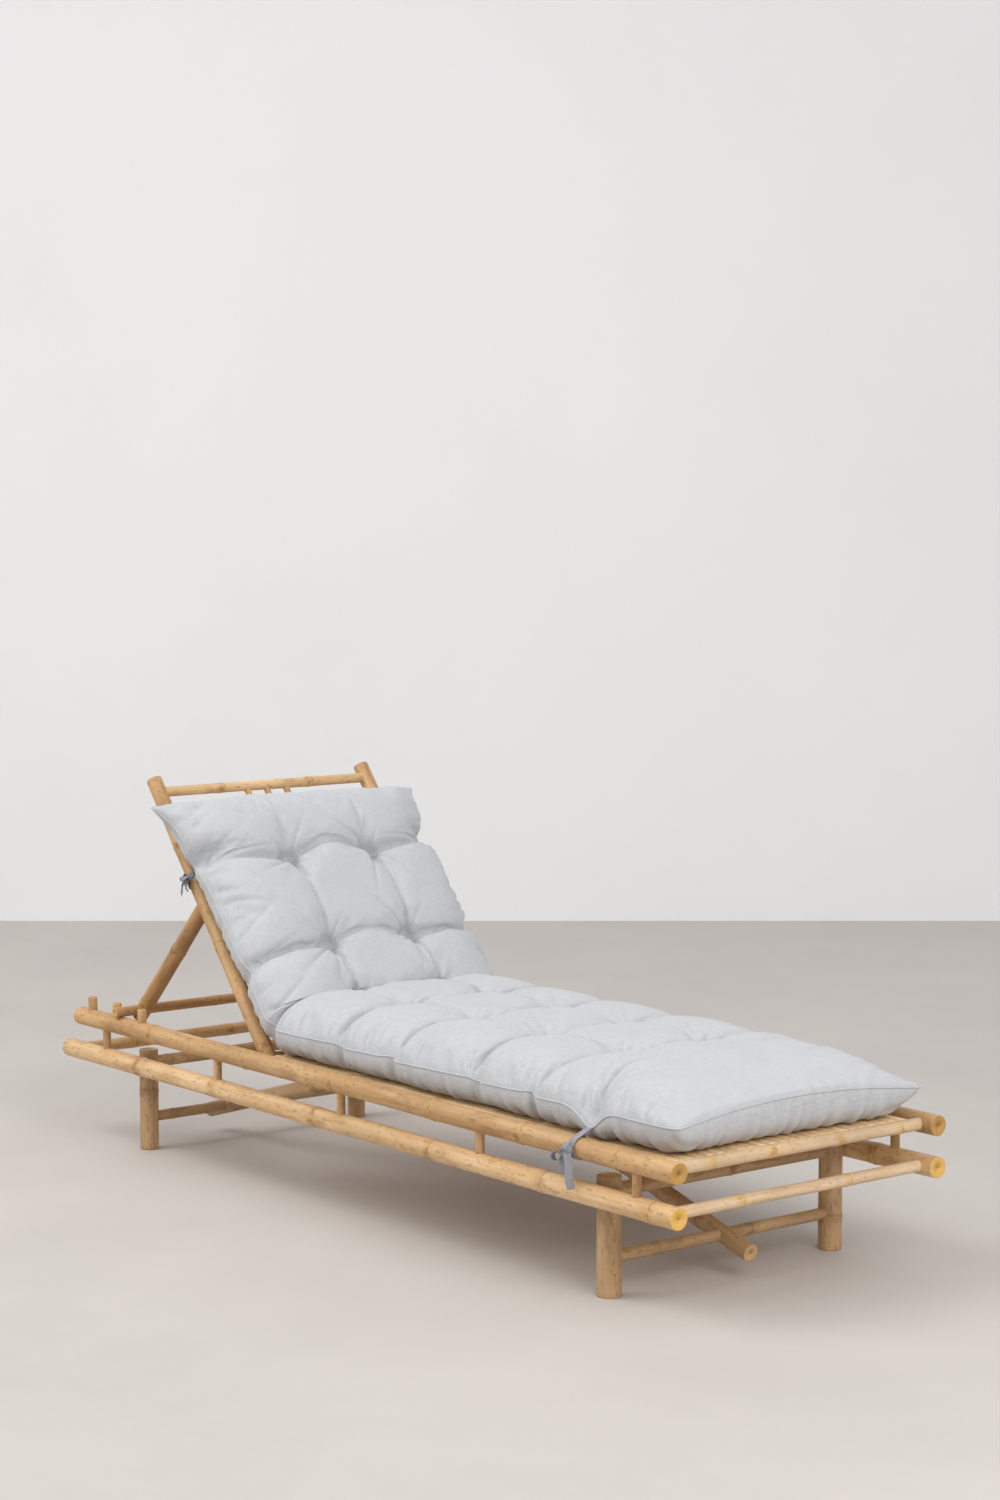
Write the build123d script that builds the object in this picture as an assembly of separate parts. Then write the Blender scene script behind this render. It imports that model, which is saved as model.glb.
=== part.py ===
from build123d import *
from math import asin, atan2, cos, hypot, pi, radians, sin, sqrt
from typing import NamedTuple
import os

# Bamboo sun lounger in millimetres. X runs from the head to the foot, Y across, Z up.
# The origin is on the floor, in the middle of the lower rails. The near side is at minus Y.

# Fits between pieces
TENON_CLEARANCE = 0.15
PIVOT_CLEARANCE = 0.25
TOUCH_GAP = 0.3

# Side rails, in line at the foot end
LOWER_RAIL_LENGTH = 2050.0
UPPER_RAIL_LENGTH = 2000.0
LOWER_RAIL_DIAMETER = 41.0
UPPER_RAIL_DIAMETER = 40.0
LOWER_RAIL_HEIGHT = 191.0
UPPER_RAIL_HEIGHT = 269.5
RAIL_SPREAD = 638.0
RAIL_SOCKET_DEPTH = 16.0

# Spacer dowels between the two rails of a side
SPACER_COUNT = 5
SPACER_INSET = 110.0
SPACER_DIAMETER = 18.0
SPACER_SOCKET_DEPTH = 14.0

# Notch pegs on the upper rails, counted from the head
PEG_MIDDLE_INSET = 154.0
PEG_PITCH = 103.0
PEG_COUNT = 3
PEG_DIAMETER = 20.0
PEG_RISE = 28.0
PEG_SOCKET_DEPTH = 20.0

# Crossbars at the two ends of the frame
FOOT_BAR_INSET = 35.0
FOOT_UPPER_BAR_DIAMETER = 24.0
FOOT_LOWER_BAR_DIAMETER = 23.0
HEAD_BAR_INSET = 35.0
HEAD_BAR_DIAMETER = 27.0

# Legs and the stretchers of each leg pair
FOOT_LEG_INSET = 236.0
HEAD_LEG_INSET = 266.0
FOOT_LEG_DIAMETER = 46.0
HEAD_LEG_DIAMETER = 41.0
LEG_HEIGHT = 220.0
TOP_STRETCHER_DIAMETER = 26.0
LOW_STRETCHER_DIAMETER = 23.0
LOW_STRETCHER_HEIGHT = 70.0
LEG_SOCKET_DEPTH = 26.0

# Bed crossbars and the split-bamboo slats that lie on them
BED_BAR_DIAMETER = 22.0
BED_BAR_DROP = 7.5
FIRST_BED_BAR_INSET = 106.0
FOOT_BRACE_RUN = 564.0
THIRD_BED_BAR_INSET = 430.0
LAST_BED_BAR_INSET = 110.0
SLAT_WIDTH = 22.0
SLAT_PITCH = 25.0
SLAT_EDGE_THICKNESS = 5.0
SLAT_CROWN = 2.0
BED_SLAT_COUNT = 23
SLAT_SEAT_GAP = 0.1

# Slanting braces from the low stretchers to the bed crossbars
BRACE_DIAMETER = 34.0
FOOT_BRACE_Y = 0.0
HEAD_BRACE_Y = -69.0
BRACE_LOW_OVERHANG = 78.0
BRACE_HIGH_OVERHANG = 42.0
BRACE_PIN_DIAMETER = 8.0
BRACE_PIN_BITE = 14.0

# Backrest, turned up from the bed about the hinge bar
BACK_ANGLE = 51.2
RAISE_RANGE = 38.0
HINGE_INSET = 679.0
HINGE_BAR_DIAMETER = 22.0
HINGE_CLEAR_RADIUS = 34.0
STILE_SPREAD = 548.0
STILE_DIAMETER = 34.0
STILE_LENGTH = 695.0
STILE_TAIL = 22.0
BACK_BAR_DIAMETER = 22.0
BACK_BAR_SOCKET_DEPTH = 14.0
TOP_BAR_INSET = 32.0
SECOND_BAR_DROP = 88.0
MIDDLE_BAR_S = 255.0
LOW_BAR_S = 75.0
SPINDLE_DIAMETER = 14.0
SPINDLE_PITCH = 51.0
SPINDLE_COUNT = 3
SPINDLE_SOCKET_DEPTH = 7.0
BACK_SLAT_COUNT = 17
BACK_SLAT_LAP = 24.0

# Prop, pinned to the stiles and standing on the upper rails
PROP_PIVOT_S = 410.0
PROP_DIAMETER = 34.0
PROP_TOP_SPREAD = 472.0
PROP_FOOT_SPREAD = 526.0
PROP_TOP_OVERHANG = 10.0
PROP_TOP_ROUND = 8.0
PROP_FOOT_OVERHANG = 25.0
PROP_BAR_DIAMETER = 22.0
PROP_BAR_LENGTH = 676.0
PIVOT_PIN_DIAMETER = 10.0
PIVOT_PIN_PROUD = 1.0

# Tufted cushion: a flat underside, a seam at mid height, two columns of tufts
CUSHION_SEAT_GAP = 0.5
CUSHION_FOOT_LAP = 5.0
CUSHION_TOP_LAP = 17.0
CUSHION_HALF_WIDTH = 302.0
CUSHION_ROW_HALF_WIDTH = 290.0
CUSHION_FOOT_EAR = 310.0
CUSHION_TOP_EAR = 334.0
CUSHION_EAR_REACH = 110.0
CUSHION_BASE_HALF_WIDTH = 240.0
CUSHION_SEAM_HEIGHT = 58.0
CUSHION_EDGE_HALF_HEIGHT = 6.0
CUSHION_EDGE_WIDTH = 6.0
CUSHION_FOOT_ROLL = 250.0
CUSHION_FOOT_SLOPE = 1.4
CUSHION_TOP_ROLL = 160.0
CUSHION_TOP_SLOPE = 1.15
CUSHION_LOW_ROLL = 70.0
CUSHION_LOW_SAG = 16.0
TUFT_SPREAD = 210.0
TUFT_PITCH = 219.0
TUFT_HEIGHT = 91.0
CROWN_HEIGHT = 127.0
ROW_LOBE_SAG = 20.0
CROWN_LOBE_SAG = 6.0
ROW_SIDE_SAG = 26.0
CROWN_SIDE_SAG = 38.0
GROOVE_HALF_WIDTH = 24.0
GROOVE_SIDE_SHARE = 0.85
EDGE_SAG = 1.5
SEAT_TUFT_FIRST_INSET = 256.0
SEAT_TUFT_COUNT = 4
BACK_TUFT_FIRST_S = 183.0
BACK_TUFT_COUNT = 2
ROLL_SLICES = 5

# Fold of the cushion over the hinge, between the seat part and the back part
SEAT_FOLD_ANGLE = 45.0
FOLD_PLAY_ANGLE = 1.0
FOLD_GAP = 0.5
CREASE_LOW_RADIUS = 40.0
CREASE_HIGH_RADIUS = 194.0
CREASE_LOBE_RADIUS = 170.0
CREASE_LOBE_ANGLE = 9.5
CREASE_RADIUS = 130.0
FOLD_HALF_WIDTH = 286.0

# Tape ties of the cushion, round the upper rails and the stiles
FOOT_TIE_INSET = 265.0
BACK_TIE_RISE = 42.0
TIE_WIDTH = 15.0
TIE_THICKNESS = 1.6
TIE_KNOT_SIZE = 17.0
TIE_KNOT_ROUND = 4.0
TIE_TAIL_LENGTH = 74.0
TIE_TAIL_ANGLE = 12.0
TIE_SHOULDER_ANGLE = 45.0
BACK_TIE_TAIL_LENGTH = 34.0
BACK_TIE_SHOULDER_ANGLE = 15.0

SIDES = {"near": -1, "far": 1}


class Culm(NamedTuple):
    """A straight round pole between the centres of its two ends."""

    start: Vector
    end: Vector
    diameter: float


def culm_solid(culm):
    """The pole itself."""
    run = culm.end - culm.start
    place = Plane(origin=culm.start, z_dir=run)
    return place * Cylinder(culm.diameter / 2, run.length, align=(Align.CENTER, Align.CENTER, Align.MIN))


def socket(culm, clearance=TENON_CLEARANCE):
    """The hole that a pole sits in, larger all round and past both ends by the clearance."""
    along = (culm.end - culm.start).normalized() * clearance
    return culm_solid(Culm(culm.start - along, culm.end + along, culm.diameter + 2 * clearance))


def crossbar(x, z, half_length, diameter):
    """A pole across the lounger."""
    return Culm(Vector(x, -half_length, z), Vector(x, half_length, z), diameter)


def drilled(culm, *tenons):
    """A pole with a socket for each pole that enters it."""
    body = culm_solid(culm)
    for tenon in tenons:
        body -= socket(tenon)
    return body


def upright(x, y, low_z, high_z, diameter):
    """A pole that stands."""
    return Culm(Vector(x, y, low_z), Vector(x, y, high_z), diameter)


def lengthwise(start_x, end_x, y, z, diameter):
    """A pole along the lounger."""
    return Culm(Vector(start_x, y, z), Vector(end_x, y, z), diameter)


def evenly(count, pitch, middle=0.0):
    """Places in a row about a middle."""
    return [middle + (i - (count - 1) / 2) * pitch for i in range(count)]


def write(node, *solids):
    """Write the solids of one node."""
    shape = solids[0] if len(solids) == 1 else Compound(children=list(solids))
    export_step(shape, f"parts/{node}.step")


os.makedirs("parts", exist_ok=True)

# Side frames
foot_end_x = LOWER_RAIL_LENGTH / 2
head_end_x = -LOWER_RAIL_LENGTH / 2
upper_head_x = foot_end_x - UPPER_RAIL_LENGTH
hinge_x = upper_head_x + HINGE_INSET
rail_y = RAIL_SPREAD / 2
upper_radius = UPPER_RAIL_DIAMETER / 2
lower_radius = LOWER_RAIL_DIAMETER / 2
upper_tenon_y = rail_y - upper_radius + RAIL_SOCKET_DEPTH
lower_tenon_y = rail_y - lower_radius + RAIL_SOCKET_DEPTH

foot_bar_x = foot_end_x - FOOT_BAR_INSET
head_bar_x = head_end_x + HEAD_BAR_INSET
foot_upper_bar = crossbar(foot_bar_x, UPPER_RAIL_HEIGHT, upper_tenon_y, FOOT_UPPER_BAR_DIAMETER)
foot_lower_bar = crossbar(foot_bar_x, LOWER_RAIL_HEIGHT, lower_tenon_y, FOOT_LOWER_BAR_DIAMETER)
head_lower_bar = crossbar(head_bar_x, LOWER_RAIL_HEIGHT, lower_tenon_y, HEAD_BAR_DIAMETER)
hinge_bar = crossbar(hinge_x, UPPER_RAIL_HEIGHT, upper_tenon_y, HINGE_BAR_DIAMETER)

foot_leg_x = foot_end_x - FOOT_LEG_INSET
head_leg_x = head_end_x + HEAD_LEG_INSET
bed_bar_z = UPPER_RAIL_HEIGHT - BED_BAR_DROP
head_brace_bar_x = hinge_x + FIRST_BED_BAR_INSET
foot_brace_bar_x = foot_leg_x - FOOT_BRACE_RUN
last_bed_bar_x = foot_bar_x - LAST_BED_BAR_INSET
third_bed_bar_x = foot_bar_x - THIRD_BED_BAR_INSET
bed_bar_xs = (head_brace_bar_x, foot_brace_bar_x, third_bed_bar_x, last_bed_bar_x)
bed_bars = [crossbar(x, bed_bar_z, upper_tenon_y, BED_BAR_DIAMETER) for x in bed_bar_xs]

foot_top_stretcher = crossbar(foot_leg_x, LOWER_RAIL_HEIGHT, lower_tenon_y, TOP_STRETCHER_DIAMETER)
head_top_stretcher = crossbar(head_leg_x, LOWER_RAIL_HEIGHT, lower_tenon_y, TOP_STRETCHER_DIAMETER)

shared_head_x = max(head_end_x, upper_head_x)
spacer_pitch = (foot_end_x - shared_head_x - 2 * SPACER_INSET) / (SPACER_COUNT - 1)
spacer_xs = evenly(SPACER_COUNT, spacer_pitch, (foot_end_x + shared_head_x) / 2)
peg_middle_x = upper_head_x + PEG_MIDDLE_INSET
peg_xs = evenly(PEG_COUNT, PEG_PITCH, peg_middle_x)
spacer_low_z = LOWER_RAIL_HEIGHT + lower_radius - SPACER_SOCKET_DEPTH
spacer_high_z = UPPER_RAIL_HEIGHT - upper_radius + SPACER_SOCKET_DEPTH
rail_crown_z = UPPER_RAIL_HEIGHT + upper_radius

for side, sign in SIDES.items():
    y = sign * rail_y
    spacers = [upright(x, y, spacer_low_z, spacer_high_z, SPACER_DIAMETER) for x in spacer_xs]
    peg_low_z = rail_crown_z - PEG_SOCKET_DEPTH
    peg_high_z = rail_crown_z + PEG_RISE
    pegs = [upright(x, y, peg_low_z, peg_high_z, PEG_DIAMETER) for x in peg_xs]
    upper_rail = lengthwise(upper_head_x, foot_end_x, y, UPPER_RAIL_HEIGHT, UPPER_RAIL_DIAMETER)
    lower_rail = lengthwise(head_end_x, foot_end_x, y, LOWER_RAIL_HEIGHT, LOWER_RAIL_DIAMETER)
    write(f"upper_rail_{side}", drilled(upper_rail, *spacers, *pegs, foot_upper_bar, hinge_bar, *bed_bars))
    lower_tenons = (foot_lower_bar, head_lower_bar, foot_top_stretcher, head_top_stretcher)
    write(f"lower_rail_{side}", drilled(lower_rail, *spacers, *lower_tenons))
    write(f"rail_spacers_{side}", *[culm_solid(spacer) for spacer in spacers])
    write(f"notch_pegs_{side}", *[culm_solid(peg) for peg in pegs])

write("foot_upper_crossbar", culm_solid(foot_upper_bar))
write("foot_lower_crossbar", culm_solid(foot_lower_bar))
write("head_lower_crossbar", culm_solid(head_lower_bar))
write("hinge_bar", culm_solid(hinge_bar))


# Legs, stretchers and braces
def brace_along(leg_x, bar_x, y):
    """The brace through the low stretcher, lying just under a bed crossbar, and its pin."""
    toward = 1 if bar_x > leg_x else -1
    run = abs(bar_x - leg_x)
    rise = bed_bar_z - LOW_STRETCHER_HEIGHT
    offset = (BRACE_DIAMETER + BED_BAR_DIAMETER) / 2 + TOUCH_GAP
    pitch = atan2(rise, run) - asin(offset / hypot(run, rise))
    along = Vector(toward * cos(pitch), 0, sin(pitch))
    square = Vector(-toward * sin(pitch), 0, cos(pitch))
    crossing = Vector(leg_x, y, LOW_STRETCHER_HEIGHT)
    bar_centre = Vector(bar_x, y, bed_bar_z)
    touch_length = (bar_centre - crossing).dot(along)
    culm = Culm(
        crossing - along * BRACE_LOW_OVERHANG,
        crossing + along * (touch_length + BRACE_HIGH_OVERHANG),
        BRACE_DIAMETER,
    )
    pin_low = bar_centre - square * (offset + BRACE_DIAMETER / 2)
    pin_high = bar_centre + square * (BRACE_PIN_BITE - BED_BAR_DIAMETER / 2)
    return culm, Culm(pin_low, pin_high, BRACE_PIN_DIAMETER)


foot_brace, foot_brace_pin = brace_along(foot_leg_x, foot_brace_bar_x, FOOT_BRACE_Y)
head_brace, head_brace_pin = brace_along(head_leg_x, head_brace_bar_x, HEAD_BRACE_Y)

LEG_PAIRS = (
    ("foot", foot_leg_x, FOOT_LEG_DIAMETER, foot_top_stretcher, foot_brace, foot_brace_pin),
    ("head", head_leg_x, HEAD_LEG_DIAMETER, head_top_stretcher, head_brace, head_brace_pin),
)
for end, leg_x, leg_diameter, top_stretcher, brace, brace_pin in LEG_PAIRS:
    leg_y = rail_y - lower_radius - TOUCH_GAP - leg_diameter / 2
    low_tenon_y = leg_y - leg_diameter / 2 + LEG_SOCKET_DEPTH
    low_stretcher = crossbar(leg_x, LOW_STRETCHER_HEIGHT, low_tenon_y, LOW_STRETCHER_DIAMETER)
    for side, sign in SIDES.items():
        leg = upright(leg_x, sign * leg_y, 0, LEG_HEIGHT, leg_diameter)
        write(f"{end}_leg_{side}", drilled(leg, top_stretcher, low_stretcher))
    write(f"{end}_top_stretcher", culm_solid(top_stretcher))
    write(f"{end}_low_stretcher", culm_solid(low_stretcher))
    write(f"{end}_brace", drilled(brace, low_stretcher, brace_pin))
    write(f"{end}_brace_pin", culm_solid(brace_pin))

# Bed crossbars and slats
for number, bar in enumerate(bed_bars, 1):
    write(f"bed_crossbar_{number}", drilled(bar, foot_brace_pin, head_brace_pin))


def slat(place, length):
    """A split-bamboo strip with a crowned top, laid from a place along its own X."""
    half = SLAT_WIDTH / 2
    low_left, low_right = (-half, 0), (half, 0)
    high_right, high_left = (half, SLAT_EDGE_THICKNESS), (-half, SLAT_EDGE_THICKNESS)
    crown = (0, SLAT_EDGE_THICKNESS + SLAT_CROWN)
    outline = Polyline(high_left, low_left, low_right, high_right)
    outline += ThreePointArc(high_right, crown, high_left)
    return extrude(place * make_face(outline), length)


slat_base_z = bed_bar_z + BED_BAR_DIAMETER / 2 + SLAT_SEAT_GAP
slat_head_x = hinge_x + HINGE_CLEAR_RADIUS
slat_foot_x = foot_bar_x - FOOT_UPPER_BAR_DIAMETER / 2 - TOUCH_GAP
bed_slats = []
for y in evenly(BED_SLAT_COUNT, SLAT_PITCH):
    place = Plane(origin=(slat_head_x, y, slat_base_z), x_dir=(0, 1, 0), z_dir=(1, 0, 0))
    bed_slats.append(slat(place, slat_foot_x - slat_head_x))
write("bed_slats", *bed_slats)

# Backrest frame, in lengths S up the stiles, Y across and N out of its front
back_turn = radians(BACK_ANGLE)
back_up = Vector(-cos(back_turn), 0, sin(back_turn))
back_front = Vector(sin(back_turn), 0, cos(back_turn))
hinge = Vector(hinge_x, 0, UPPER_RAIL_HEIGHT)


def on_back(s, y, n=0.0):
    """A point of the backrest in the row's frame."""
    return hinge + back_up * s + back_front * n + Vector(0, y, 0)


def back_crossbar(s):
    """A pole between the stiles."""
    reach = STILE_SPREAD / 2 - STILE_DIAMETER / 2 + BACK_BAR_SOCKET_DEPTH
    return Culm(on_back(s, -reach), on_back(s, reach), BACK_BAR_DIAMETER)


top_bar_s = STILE_LENGTH - TOP_BAR_INSET
second_bar_s = top_bar_s - SECOND_BAR_DROP
back_bars = {
    "back_top_bar": back_crossbar(top_bar_s),
    "back_second_bar": back_crossbar(second_bar_s),
    "back_middle_bar": back_crossbar(MIDDLE_BAR_S),
    "back_low_bar": back_crossbar(LOW_BAR_S),
}
bar_radius = BACK_BAR_DIAMETER / 2
spindle_low_s = second_bar_s + bar_radius - SPINDLE_SOCKET_DEPTH
spindle_high_s = top_bar_s - bar_radius + SPINDLE_SOCKET_DEPTH
spindles = []
for y in evenly(SPINDLE_COUNT, SPINDLE_PITCH):
    spindles.append(Culm(on_back(spindle_low_s, y), on_back(spindle_high_s, y), SPINDLE_DIAMETER))
for node, bar in back_bars.items():
    write(node, drilled(bar, *spindles))
for number, spindle in enumerate(spindles, 1):
    write(f"back_spindle_{number}", culm_solid(spindle))

stile_y = STILE_SPREAD / 2
prop_top_y = PROP_TOP_SPREAD / 2
pin_outer_y = stile_y + STILE_DIAMETER / 2 + PIVOT_PIN_PROUD
pin_inner_y = prop_top_y - PROP_DIAMETER / 2 - PIVOT_PIN_PROUD
for side, sign in SIDES.items():
    pin_start = on_back(PROP_PIVOT_S, sign * pin_outer_y)
    pin_end = on_back(PROP_PIVOT_S, sign * pin_inner_y)
    pin = Culm(pin_start, pin_end, PIVOT_PIN_DIAMETER)
    stile = Culm(on_back(-STILE_TAIL, sign * stile_y), on_back(STILE_LENGTH, sign * stile_y), STILE_DIAMETER)
    body = drilled(stile, pin, *back_bars.values())
    write(f"stile_{side}", body - socket(hinge_bar, PIVOT_CLEARANCE))
    write(f"prop_pin_{side}", culm_solid(pin))

back_slats = []
back_slat_low_s = LOW_BAR_S - BACK_SLAT_LAP
back_slat_high_s = second_bar_s + BACK_SLAT_LAP
for y in evenly(BACK_SLAT_COUNT, SLAT_PITCH):
    start = on_back(back_slat_high_s, y, bar_radius + SLAT_SEAT_GAP)
    place = Plane(origin=start, x_dir=(0, 1, 0), z_dir=-back_up)
    back_slats.append(slat(place, back_slat_high_s - back_slat_low_s))
write("back_slats", *back_slats)

# Prop, standing on the rails on the foot side of the middle pegs
prop_bar_x = peg_middle_x + (PEG_DIAMETER + PROP_BAR_DIAMETER) / 2 + TOUCH_GAP
prop_bar_z = rail_crown_z + PROP_BAR_DIAMETER / 2 + TOUCH_GAP
prop_bar = crossbar(prop_bar_x, prop_bar_z, PROP_BAR_LENGTH / 2, PROP_BAR_DIAMETER)
write("prop_bar", culm_solid(prop_bar))
for side, sign in SIDES.items():
    pivot = on_back(PROP_PIVOT_S, sign * prop_top_y)
    foot = Vector(prop_bar_x, sign * PROP_FOOT_SPREAD / 2, prop_bar_z)
    along = (foot - pivot).normalized()
    pole = Culm(pivot - along * PROP_TOP_OVERHANG, foot + along * PROP_FOOT_OVERHANG, PROP_DIAMETER)
    body = culm_solid(pole)
    body = fillet(body.edges().filter_by(GeomType.CIRCLE).sort_by(Axis.Z)[-1], PROP_TOP_ROUND)
    pin = crossbar(pivot.X, pivot.Z, pin_outer_y, PIVOT_PIN_DIAMETER)
    write(f"prop_pole_{side}", body - socket(prop_bar) - socket(pin, PIVOT_CLEARANCE))


# Cushion
class Slice(NamedTuple):
    """The measures of one slice across the cushion."""

    half_width: float
    base: float
    base_half_width: float
    tuft_height: float
    lobe_sag: float
    side_sag: float
    low_sag: float


def mixed(first, second, share):
    """A slice part of the way from one slice to another."""
    return Slice(*(a + (b - a) * share for a, b in zip(first, second)))


tuft_row = Slice(
    half_width=CUSHION_ROW_HALF_WIDTH,
    base=0,
    base_half_width=CUSHION_BASE_HALF_WIDTH,
    tuft_height=TUFT_HEIGHT,
    lobe_sag=ROW_LOBE_SAG,
    side_sag=ROW_SIDE_SAG,
    low_sag=CUSHION_LOW_SAG,
)
crown = tuft_row._replace(
    half_width=CUSHION_HALF_WIDTH,
    tuft_height=CROWN_HEIGHT,
    lobe_sag=CROWN_LOBE_SAG,
    side_sag=CROWN_SIDE_SAG,
)
groove_side = mixed(tuft_row, crown, GROOVE_SIDE_SHARE)


def rolled_edge(distance, fullness, ear):
    """A slice near a sewn end, which is thin and runs out into two ears."""
    low_base = CUSHION_SEAM_HEIGHT - CUSHION_EDGE_HALF_HEIGHT
    top = CUSHION_SEAM_HEIGHT + CUSHION_EDGE_HALF_HEIGHT
    edge = Slice(ear, low_base, ear - CUSHION_EDGE_WIDTH, top, EDGE_SAG, EDGE_SAG, EDGE_SAG)
    low_share = sqrt(1 - (1 - min(distance / CUSHION_LOW_ROLL, 1)) ** 2)
    low = mixed(edge, crown, low_share)
    flare = max(0, 1 - distance / CUSHION_EAR_REACH) ** 2
    return mixed(edge, crown, fullness)._replace(
        half_width=CUSHION_HALF_WIDTH + (ear - CUSHION_HALF_WIDTH) * flare,
        base=low.base,
        base_half_width=low.base_half_width,
        low_sag=low.low_sag,
    )


def bulged(start, end, sag):
    """An arc that stands out from its chord, on the right-hand side of the way it runs."""
    a, b = Vector(*start), Vector(*end)
    chord = b - a
    out = Vector(chord.Y, -chord.X).normalized()
    return ThreePointArc(a, (a + b) / 2 + out * sag, b)


def slice_face(place, cut):
    """One slice: flat underside, drawn-in sides, and three lobes on top."""
    tuft_y = TUFT_SPREAD / 2
    seam_right, seam_left = (cut.half_width, CUSHION_SEAM_HEIGHT), (-cut.half_width, CUSHION_SEAM_HEIGHT)
    low_right, low_left = (cut.base_half_width, cut.base), (-cut.base_half_width, cut.base)
    tuft_right, tuft_left = (tuft_y, cut.tuft_height), (-tuft_y, cut.tuft_height)
    outline = Line(low_left, low_right)
    outline += bulged(low_right, seam_right, cut.low_sag)
    outline += bulged(seam_right, tuft_right, cut.side_sag)
    outline += bulged(tuft_right, tuft_left, cut.lobe_sag)
    outline += bulged(tuft_left, seam_left, cut.side_sag)
    outline += bulged(seam_left, low_left, cut.low_sag)
    return place * make_face(outline)


def tufted_end(first_row, row_count, end, roll, slope, ear):
    """Slices and their places from before the first row of tufts to the seam at the end."""
    slices = []
    for i in range(row_count):
        row = first_row + (i - 1) * TUFT_PITCH
        slices.append((row, tuft_row))
        slices.append((row + GROOVE_HALF_WIDTH, groove_side))
        slices.append((row + TUFT_PITCH / 2, crown))
        slices.append((row + TUFT_PITCH - GROOVE_HALF_WIDTH, groove_side))
    last_row = first_row + (row_count - 1) * TUFT_PITCH
    slices.append((last_row, tuft_row))
    slices.append((last_row + GROOVE_HALF_WIDTH, groove_side))
    for i in range(ROLL_SLICES + 1):
        turn = pi / 2 * (1 - i / ROLL_SLICES)
        distance = roll * (1 - cos(turn))
        slices.append((end - distance, rolled_edge(distance, sin(turn) ** slope, ear)))
    return slices


def half_space(normal):
    """Everything on one side of a plane through the hinge axis."""
    reach = 2 * LOWER_RAIL_LENGTH
    place = Plane(origin=hinge, x_dir=(0, 1, 0), z_dir=normal)
    return place * Box(reach, reach, reach, align=(Align.CENTER, Align.CENTER, Align.MIN))


def polar(angle, radius, gap=0.0):
    """A point in the side view about the hinge, moved square to its ray by a gap."""
    turn = radians(angle)
    across = radius * cos(turn) - gap * sin(turn)
    up = radius * sin(turn) + gap * cos(turn)
    return Vector(hinge_x + across, UPPER_RAIL_HEIGHT + up)


cushion_base_z = slat_base_z + SLAT_EDGE_THICKNESS + SLAT_CROWN + CUSHION_SEAT_GAP
back_cushion_n = bar_radius + SLAT_SEAT_GAP + SLAT_EDGE_THICKNESS + SLAT_CROWN + CUSHION_SEAT_GAP


def seat_slice(x):
    """The plane of a slice across the seat part."""
    return Plane(origin=(x, 0, cushion_base_z), x_dir=(0, 1, 0), z_dir=(1, 0, 0))


def back_slice(s):
    """The plane of a slice across the back part."""
    return Plane(origin=on_back(s, 0, back_cushion_n), x_dir=(0, 1, 0), z_dir=-back_up)


seat_tuft_x = hinge_x + SEAT_TUFT_FIRST_INSET
cushion_foot_x = foot_bar_x + CUSHION_FOOT_LAP
foot_edge = (cushion_foot_x, CUSHION_FOOT_ROLL, CUSHION_FOOT_SLOPE, CUSHION_FOOT_EAR)
seat_slices = tufted_end(seat_tuft_x, SEAT_TUFT_COUNT, *foot_edge)
seat_slices.insert(0, (hinge_x, tuft_row))
seat_form = loft([slice_face(seat_slice(x), cut) for x, cut in seat_slices], ruled=True)
fold_turn = radians(SEAT_FOLD_ANGLE)
seat_cushion = seat_form - half_space(Vector(-sin(fold_turn), 0, cos(fold_turn)))
hinge_relief = culm_solid(crossbar(hinge_x, UPPER_RAIL_HEIGHT, rail_y, 2 * HINGE_CLEAR_RADIUS))
write("seat_cushion", seat_cushion - hinge_relief)

back_fold_angle = SEAT_FOLD_ANGLE + RAISE_RANGE + FOLD_PLAY_ANGLE
cushion_top_s = second_bar_s + CUSHION_TOP_LAP
top_edge = (cushion_top_s, CUSHION_TOP_ROLL, CUSHION_TOP_SLOPE, CUSHION_TOP_EAR)
back_slices = tufted_end(BACK_TUFT_FIRST_S, BACK_TUFT_COUNT, *top_edge)
back_form = loft([slice_face(back_slice(s), cut) for s, cut in back_slices], ruled=True)
back_fold_turn = radians(back_fold_angle)
back_cushion = back_form - half_space(Vector(sin(back_fold_turn), 0, -cos(back_fold_turn)))
write("back_cushion", back_cushion)

crease_angle = (SEAT_FOLD_ANGLE + back_fold_angle) / 2
seat_low = polar(SEAT_FOLD_ANGLE, CREASE_LOW_RADIUS, FOLD_GAP)
seat_high = polar(SEAT_FOLD_ANGLE, CREASE_HIGH_RADIUS, FOLD_GAP)
back_high = polar(back_fold_angle, CREASE_HIGH_RADIUS, -FOLD_GAP)
back_low = polar(back_fold_angle, CREASE_LOW_RADIUS, -FOLD_GAP)
fold_outline = Polyline(back_high, back_low, seat_low, seat_high)
crease = polar(crease_angle, CREASE_RADIUS)
seat_lobe = polar(SEAT_FOLD_ANGLE + CREASE_LOBE_ANGLE, CREASE_LOBE_RADIUS)
back_lobe = polar(back_fold_angle - CREASE_LOBE_ANGLE, CREASE_LOBE_RADIUS)
fold_outline += ThreePointArc(seat_high, seat_lobe, crease)
fold_outline += ThreePointArc(crease, back_lobe, back_high)
write("cushion_fold", extrude(Plane.XZ * make_face(fold_outline), FOLD_HALF_WIDTH, both=True))


# Ties
def tape(start, end, across):
    """A flat tape between two points, as wide as the ties are, across a given direction."""
    run = end - start
    place = Plane(origin=start, x_dir=across, z_dir=run)
    return place * Box(TIE_WIDTH, TIE_THICKNESS, run.length, align=(Align.CENTER, Align.CENTER, Align.MIN))


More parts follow.
